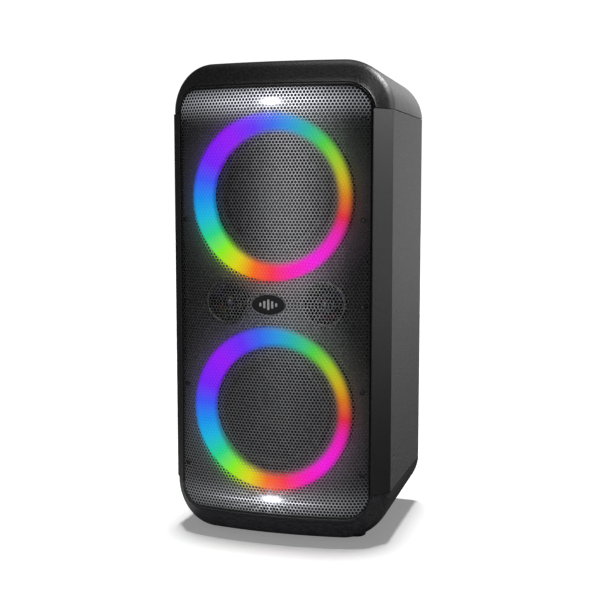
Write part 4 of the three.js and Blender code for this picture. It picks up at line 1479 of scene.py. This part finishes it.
def hand_pocket():
    """The moulded pocket behind the carry handle, with a rounded floor."""
    low, high = box("handle_cup")
    centre, (half_width, half_height) = span("handle_cup")
    wall, fillet = CUP_WALL, 8.0
    steps = []
    for i in range(7):
        angle = math.radians(15 * i)
        steps.append((fillet * (1 - math.sin(angle)), low.y + wall + fillet * (1 - math.cos(angle))))
    steps += [(0.0, high.y), (-wall, high.y), (-wall, low.y)]
    rings = []
    for inset, depth in steps:
        inside = wall + inset
        outline = rounded(half_width - inside, half_height - inside, max(10.0 - inset, 2.5), 8, centre)
        rings.append([(x, depth, z) for x, z in outline])
    pocket = mend(loft("hand_pocket", rings, ends=True))
    return show(coat(pocket, PANEL_PLASTIC), "root", "panel_plastic", "handle_cup")


def grip_bar():
    """The carry handle: a rounded bar that narrows a little towards its middle."""
    low, high = box("carry_handle")
    centre, (half_depth, half_height) = span("carry_handle", "yz")
    rings = []
    for i in range(33):
        share = i / 32
        waist = 1 - 0.1 * math.sin(math.pi * share) ** 2
        outline = rounded(half_depth * waist, half_height * waist, 6.5 * waist, 6, centre)
        rings.append([(low.x + (high.x - low.x) * share, y, z) for y, z in outline])
    bar = mend(loft("grip_bar", rings, ends=True))
    return show(coat(bar, CAP_PLASTIC), "root", "panel_plastic", "carry_handle")


def port_tube(side):
    """A bass port with a flared, rounded mouth."""
    node = f"{side}_bass_port"
    low, high = box(node)
    bore, flange = 23.5, (high.x - low.x) / 2
    profile = [(bore, low.y)]
    for i in range(13):
        share = i / 12
        profile.append((bore + 5.6 * share**2.4, high.y - 27 + 26.2 * share))
    profile += [(29.7, high.y - 0.2), (30.3, high.y), (flange, high.y - 0.5), (flange, high.y - 1.7)]
    profile += [(bore + 2.5, high.y - 1.7), (bore + 2.5, low.y), (bore, low.y)]
    tube = turned(f"{side}_port_flare", profile, (middle(node).x, middle(node).z), segments=72)
    return show(coat(tube, PANEL_PLASTIC), "root", "panel_plastic", node)


def back_screws():
    """Screws round the back panel and at the corners of the input panel."""
    low, high = box("back_panel")
    inset = 8.0
    points = []
    for across in (low.x + inset, high.x - inset):
        points += [(across, high.y - 0.1, MID_Z + z) for z in (-212, -127, -42, 42, 127, 212)]
    points += [(0, high.y - 0.1, MID_Z + z) for z in (-212, 212)]
    low, high = box("input_panel")
    points += [(x, high.y - 0.1, z) for x in (low.x + 5, high.x - 5) for z in (low.z + 5, high.z - 5)]
    sizes = {"Radius": 3.0 * MM, "Height": 1.5 * MM, "Tilt": -math.pi / 2}
    heads = grow("back_screw_heads", screw_tree(), points, **sizes)
    return show(heads, "root", "plain_steel")


MICROPHONE_HOLES = (
    ("microphone_jack_1", 5.9),
    ("microphone_jack_2", 5.9),
    ("microphone_volume_knob", 3.2),
    ("microphone_echo_knob", 3.2),
)


def input_plate():
    """The plate that carries the sockets, with its holes and printed symbols."""
    low, high = box("input_panel")
    mid_z = (low.z + high.z) / 2
    plate = prism("plate", rounded(high.x, (high.z - low.z) / 2, 7.5, 8, (0, mid_z)), "Y", low.y, high.y)
    holes = []
    for node, gap in (("mains_inlet", 0.3), ("usb_socket", 0.3), ("power_rocker", 1.0)):
        centre, (half_width, half_height) = span(node)
        outline = rounded(half_width + gap, half_height + gap, 1.0, 3, centre)
        holes.append(prism("slot", outline, "Y", low.y - 5, high.y + 5))
    for node, radius in MICROPHONE_HOLES:
        spot = middle(node)
        holes.append(prism("hole", disc_outline(radius, (spot.x, spot.z), 32), "Y", low.y - 5, high.y + 5))
    line_in = (26.0, MID_Z - 164.0)
    holes.append(prism("hole", disc_outline(2.0, line_in, 24), "Y", low.y - 5, high.y + 5))
    cut(plate, *holes)
    bevel(plate, 0.4, 2, 50)
    coat(plate, PANEL_PLASTIC)

    steps = ((2.1, -2), (3.6, -2), (3.6, 0.4), (3.3, 0.7), (2.4, 0.7), (2.1, 0.4), (2.1, -2))
    sleeve = turned("sleeve", [(radius, high.y + out) for radius, out in steps], line_in, segments=32)
    coat(sleeve, SOCKET_NICKEL)
    outlines = []
    for node, _ in MICROPHONE_HOLES[:2]:
        spot = middle(node)
        outlines += microphone_symbol(spot.x, spot.z + 15)
    usb, mains, rocker = middle("usb_socket"), middle("mains_inlet"), middle("power_rocker")
    outlines += stick_symbol(usb.x, usb.z + 11)
    outlines += wave_symbol(line_in[0], line_in[1] + 11)
    outlines += bolt_symbol(mains.x, mains.z + 13)
    outlines.append(bar_outline((rocker.x + 12, rocker.z + 6), 0.7, 4.0))
    outlines.append(arc_outline(1.8, 0.7, 0, 360, (rocker.x + 12, rocker.z - 6)))
    outlines.append(bar_outline((0, mid_z), 150, 0.6))
    symbols = print_symbols("symbols", outlines, "Y", high.y)
    made = join("input_plate", plate, sleeve, symbols)
    show(made, "root", "panel_plastic", "input_panel", smooth_below=20)


def mains_socket():
    """A two-pin mains inlet: a deep round-ended recess with two plated pins."""
    low, high = box("mains_inlet")
    centre, (half_width, half_height) = span("mains_inlet")
    shell = prism("shell", rounded(half_width, half_height, 3.0, 6, centre), "Y", low.y, high.y)
    recess = rounded(half_width - 2.6, half_height - 2.6, half_height - 2.65, 8, centre)
    cut(shell, prism("recess", recess, "Y", low.y + 2.5, high.y + 2))
    bevel(shell, 0.5, 2, 50)
    parts = [coat(shell, SWITCH_NYLON)]
    for across in (-4.3, 4.3):
        profile = [(0, low.y + 2.0), (1.15, low.y + 2.0), (1.15, high.y - 3.6)]
        profile += [(0.7, high.y - 3.0), (0, high.y - 2.9)]
        pin = turned("pin", profile, (centre[0] + across, centre[1]), segments=20)
        parts.append(coat(pin, SOCKET_NICKEL))
    show(join("mains_socket", *parts), "root", "switch_plastic", "mains_inlet")


def usb_sleeve():
    """A folded metal sleeve round a black tongue with four contacts."""
    low, high = box("usb_socket")
    centre, (half_width, half_height) = span("usb_socket")
    sleeve = prism("sleeve", rounded(half_width, half_height, 1.0, 4, centre), "Y", low.y, high.y)
    inside = rounded(half_width - 0.8, half_height - 0.8, 0.6, 3, centre)
    cut(sleeve, prism("inside", inside, "Y", low.y + 1.5, high.y + 2))
    bevel(sleeve, 0.25, 2, 50)
    tongue_mid = (centre[0], centre[1] + half_height - 2.4)
    tongue_outline = rounded(half_width - 2.0, 0.9, 0.3, 2, tongue_mid)
    tongue = prism("tongue", tongue_outline, "Y", low.y + 1.0, high.y - 1.5)
    contacts = []
    for across in (-3.6, -1.2, 1.2, 3.6):
        outline = bar_outline((centre[0] + across, tongue_mid[1] - 0.95), 1.0, 0.3)
        contacts.append(coat(prism("contact", outline, "Y", low.y + 2.0, high.y - 3.0), SOCKET_NICKEL))
    made = join("usb_sleeve", coat(sleeve, SOCKET_NICKEL), coat(tongue, SWITCH_NYLON), *contacts)
    show(made, "root", "socket_steel", "usb_socket")


def microphone_socket(number):
    """A 6.35 mm jack with a ridged, plated collar."""
    node = f"microphone_jack_{number}"
    low, high = box(node)
    plate_y = box("input_panel")[1].y
    spot = (middle(node).x, middle(node).z)
    profile = [(0, low.y), (5.6, low.y), (5.6, plate_y + 0.1), (6.6, plate_y + 0.1), (6.6, high.y - 0.7)]
    profile += [(6.1, high.y), (4.3, high.y), (3.3, high.y - 0.9), (3.3, low.y + 4), (0, low.y + 4)]
    barrel = coat(turned("barrel", profile, spot, segments=48), SOCKET_NICKEL)
    place = (spot[0], (plate_y + high.y) / 2, spot[1])
    grip = ridge_ring("grip", SOCKET_NICKEL, place, 28, 6.6, (0.7, 0.7, high.y - plate_y - 0.6), True)
    show(join(f"microphone_socket_{number}", barrel, grip), "root", "socket_steel", node)


def microphone_knob(node):
    """A small ridged knob with a pointer line, and a ring of marks on the plate round it."""
    low, high = box(node)
    plate_y = box("input_panel")[1].y
    spot = (middle(node).x, middle(node).z)
    radius = (high.x - low.x) / 2
    profile = [(0, low.y), (2.7, low.y), (2.7, plate_y + 0.8)]
    profile += [(radius - 0.5, plate_y + 0.8), (radius - 0.3, plate_y + 1.4), (radius - 0.9, high.y - 1.6)]
    profile += [(radius - 1.7, high.y - 0.3), (radius - 2.6, high.y), (0, high.y - 0.3)]
    body = coat(turned("body", profile, spot, segments=48), SWITCH_NYLON)
    place = (spot[0], plate_y + 1.0 + (high.y - plate_y - 3.0) / 2, spot[1])
    ridge = (0.75, 0.8, high.y - plate_y - 3.6)
    grip = ridge_ring("grip", SWITCH_NYLON, place, 30, radius - 0.75, ridge, True)
    mark = bar_outline((spot[0], spot[1] + 3.6), 0.8, 4.0)
    pointer = prism("pointer", mark, "Y", high.y - 0.6, high.y + 0.05)
    made = join(node + "_ridged", body, grip, coat(pointer, INK))
    show(made, node, "switch_plastic", node)
    place = (spot[0], plate_y, spot[1])
    marks = ridge_ring(node + "_marks", INK, place, 12, 10.6, (0.5, 1.5, 0.25), True)
    show(marks, "root", "panel_plastic")


# ---- Top controls ----

BUTTONS = {
    "power_button": power_symbol,
    "light_button": light_symbol,
    "back_button": lambda a, b: skip_symbol(a, b, -1),
    "play_button": play_symbol,
    "next_button": lambda a, b: skip_symbol(a, b, 1),
}


def control_plate():
    """The glossy control plate, with holes for the knob and the buttons, printed symbols and
    a thin lit ring round the knob."""
    low, high = box("control_panel")
    centre, half_sizes = span("control_panel", "xy")
    outline = rounded(*half_sizes, 11.5, 8, centre)
    plate = prism("plate", outline, "Z", low.z, high.z)
    knob = middle("volume_knob")
    holes = [prism("hole", disc_outline(3.4, (knob.x, knob.y), 32), "Z", low.z - 5, high.z + 5)]
    outlines = []
    for node, symbol in BUTTONS.items():
        spot = middle(node)
        holes.append(prism("hole", disc_outline(8.4, (spot.x, spot.y), 48), "Z", low.z - 5, high.z + 5))
        outlines += symbol(spot.x, spot.y + 15)
    cut(plate, *holes)
    bevel(plate, 0.5, 2, 50)
    symbols = print_symbols("symbols", outlines, "Z", high.z)
    lit_ring = arc_outline(22.0, 1.1, 0, 360, (knob.x, knob.y), 64)
    light = prism("light", lit_ring, "Z", high.z - 0.2, high.z + 0.15)
    made = join("control_plate", coat(plate, GLOSS_PANEL), symbols, coat(light, INDICATOR))
    show(made, "root", "panel_plastic", "control_panel", smooth_below=20)
    marks = ridge_ring("volume_marks", INK, (knob.x, knob.y, high.z), 24, 26.0, (0.6, 1.8, 0.25))
    show(marks, "root", "panel_plastic")


def volume_dial():
    """The turned volume knob: a ridged side, a dished top and a pointer."""
    low, high = box("volume_knob")
    plate_z = box("control_panel")[1].z
    spot = (middle("volume_knob").x, middle("volume_knob").y)
    radius = (high.x - low.x) / 2
    profile = [(0, low.z), (2.9, low.z), (2.9, plate_z + 0.9)]
    profile += [(radius - 1.0, plate_z + 0.9), (radius - 0.5, plate_z + 1.5), (radius - 0.8, high.z - 2.0)]
    profile += [(radius - 1.4, high.z - 0.7), (radius - 2.4, high.z), (radius - 3.6, high.z)]
    profile += [(radius - 4.6, high.z - 0.6), (radius * 0.5, high.z - 1.3), (0, high.z - 1.5)]
    body = coat(turned("body", profile, spot, "Z", 96), KNOB_METAL)
    place = (*spot, plate_z + 1.4 + (high.z - plate_z - 3.6) / 2)
    ridge = (1.0, 1.2, high.z - plate_z - 4.0)
    grip = ridge_ring("grip", KNOB_METAL, place, 56, radius - 0.75, ridge)
    mark = bar_outline((spot[0], spot[1] + radius * 0.62), 1.1, 4.4)
    pointer = prism("pointer", mark, "Z", high.z - 1.6, high.z - 0.9)
    made = join("volume_dial", body, grip, coat(pointer, INK))
    show(made, "volume_knob", "knob_aluminium", "volume_knob")


def push_button(node):
    """A soft round button with a rounded edge and a slightly dished top."""
    low, high = box(node)
    radius = (high.x - low.x) / 2
    profile = [(0, low.z), (radius - 0.1, low.z)]
    profile += [(radius - 1.4 + r, high.z - 1.4 + h) for r, h in arc(1.3, 0, 90, 6)]
    profile += [(radius * 0.6, high.z - 0.35), (radius * 0.3, high.z - 0.5), (0, high.z - 0.55)]
    pad = turned(node + "_pad", profile, (middle(node).x, middle(node).y), "Z", 48)
    show(coat(pad, KEYPAD), node, "button_rubber", node)


# ---- Stage ----


def lights_only(holder, objects, choice):
    """Makes a light fall on these objects alone, or on all but these."""
    chosen = bpy.data.collections.new(holder.name + "_reach")
    for made in objects:
        chosen.objects.link(made)
    for entry in chosen.collection_objects:
        entry.light_linking.link_state = choice
    holder.light_linking.receiver_collection = chosen


def studio(bottom):
    """A white floor and surround, soft lights and the camera. One low lamp falls on the
    bottom cap alone."""
    far = FLOOR_HALF_SIZE
    floor = piece("floor", [(-far, -far, 0), (far, -far, 0), (far, far, 0), (-far, far, 0)], [(0, 1, 2, 3)])
    paper, tree, shader = material("studio_paper", "#f6f6f6", 1.0)
    seen = add(tree, "ShaderNodeLightPath").outputs["Is Camera Ray"]
    place = add(tree, "ShaderNodeTexCoord").outputs["Object"]
    # Rays other than the camera's see painted shade on the floor, dark grey, with a painted pool of light
    # near one place; the camera sees the floor evenly white.
    away = add(tree, "ShaderNodeVectorMath", {0: place, 1: FLOOR_LIGHT_POOL}, operation="DISTANCE")
    near = fade(tree, away.outputs["Value"], FLOOR_LIGHT_POOL_FULL, FLOOR_LIGHT_POOL_END)
    painted_floor_light = blend_colours(tree, near, linear("#343434"), linear("#b0b0b0"))
    looks = {
        "Base Color": blend_colours(tree, seen, painted_floor_light, linear("#f6f6f6")),
        "Specular IOR Level": 0.0,
        "Emission Color": linear("#ffffff"),
        "Emission Strength": maths(tree, "MULTIPLY", seen, FLOOR_GLOW),
    }
    feed(tree, shader, looks)
    coat(floor, paper)

    world = bpy.data.worlds.new("studio_air")
    bpy.context.scene.world = world
    world.use_nodes = True
    tree = world.node_tree
    seen = add(tree, "ShaderNodeLightPath").outputs["Is Camera Ray"]
    level = maths(tree, "ADD", seen, AIR_LIGHT)
    feed(tree, tree.nodes["Background"], {"Color": linear("#ffffff"), "Strength": level})

    # The sun falls on the floor alone, and gives its shadow. The lamps leave the floor out.
    sun = bpy.data.lights.new("floor_light", "SUN")
    sun.energy = SUN_POWER
    sun.angle = math.radians(SUN_WIDTH)
    holder = bpy.data.objects.new("floor_light", sun)
    holder.rotation_euler = (math.radians(SUN_TILT[0]), math.radians(SUN_TILT[1]), 0)
    bpy.context.scene.collection.objects.link(holder)
    lights_only(holder, [floor], "INCLUDE")

    aim = Vector((0.0, 0.0, MID_Z * MM))
    for name, place, width, height, power in LAMPS:
        lamp = bpy.data.lights.new(name, "AREA")
        lamp.shape = "RECTANGLE"
        lamp.size, lamp.size_y, lamp.energy = width, height, power
        holder = bpy.data.objects.new(name, lamp)
        holder.location = place
        holder.rotation_mode = "QUATERNION"
        holder.rotation_quaternion = (aim - Vector(place)).to_track_quat("-Z", "Y")
        bpy.context.scene.collection.objects.link(holder)
        if name == "low_fill":
            lights_only(holder, [bottom], "INCLUDE")
        else:
            lights_only(holder, [floor], "EXCLUDE")

    eye = bpy.data.cameras.new("eye")
    eye.lens = EYE_LENS
    eye.clip_start = 0.05
    camera = bpy.data.objects.new("eye", eye)
    camera.location = Vector((0.0, SIDE_FRONT_Y, MID_Z)) * MM + Vector(EYE_PLACE)
    camera.rotation_euler = (math.radians(90 - EYE_DOWN), 0, math.radians(EYE_TURN))
    bpy.context.scene.collection.objects.link(camera)
    bpy.context.scene.camera = camera
    bpy.context.scene.view_settings.view_transform = "Standard"


# ---- Assembly ----

top_cap()
studio(bottom_cap())
for hand in (1, -1):
    side_panel(hand)
    front_strip(hand)
    tweeter(hand)
back_panel()
for row in ("front", "rear"):
    for hand_name in ("right", "left"):
        foot(f"{row}_{hand_name}_foot")
grille()
grille_screws()
badge()
front_baffle()
for level_name in ("upper", "lower"):
    woofer(level_name)
    strobe(level_name)

hand_pocket()
grip_bar()
for hand_name in ("right", "left"):
    port_tube(hand_name)
back_screws()
input_plate()
mains_socket()
usb_sleeve()
for socket_number in (1, 2):
    microphone_socket(socket_number)
for knob_name in ("microphone_volume_knob", "microphone_echo_knob"):
    microphone_knob(knob_name)
control_plate()
volume_dial()
for button_name in BUTTONS:
    push_button(button_name)

KEPT_NODES = {
    BOARD_GREEN: ["upper_light_board", "lower_light_board", "amplifier_board"],
    BASKET_STEEL: ["upper_woofer_basket", "lower_woofer_basket"],
    FERRITE: ["upper_woofer_magnet", "lower_woofer_magnet"],
    PLATED_STEEL: ["upper_woofer_yoke", "lower_woofer_yoke"],
    CONE_PAPER: ["upper_woofer_spider", "lower_woofer_spider"],
    COIL_COPPER: ["upper_woofer_voice_coil", "lower_woofer_voice_coil"],
    HEAT_SINK_METAL: ["heat_sink"],
    BATTERY_FILM: ["battery_pack"],
    SWITCH_NYLON: ["power_rocker"],
}
for surface, nodes in KEPT_NODES.items():
    for node_name in nodes:
        coat(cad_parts[node_name], surface)
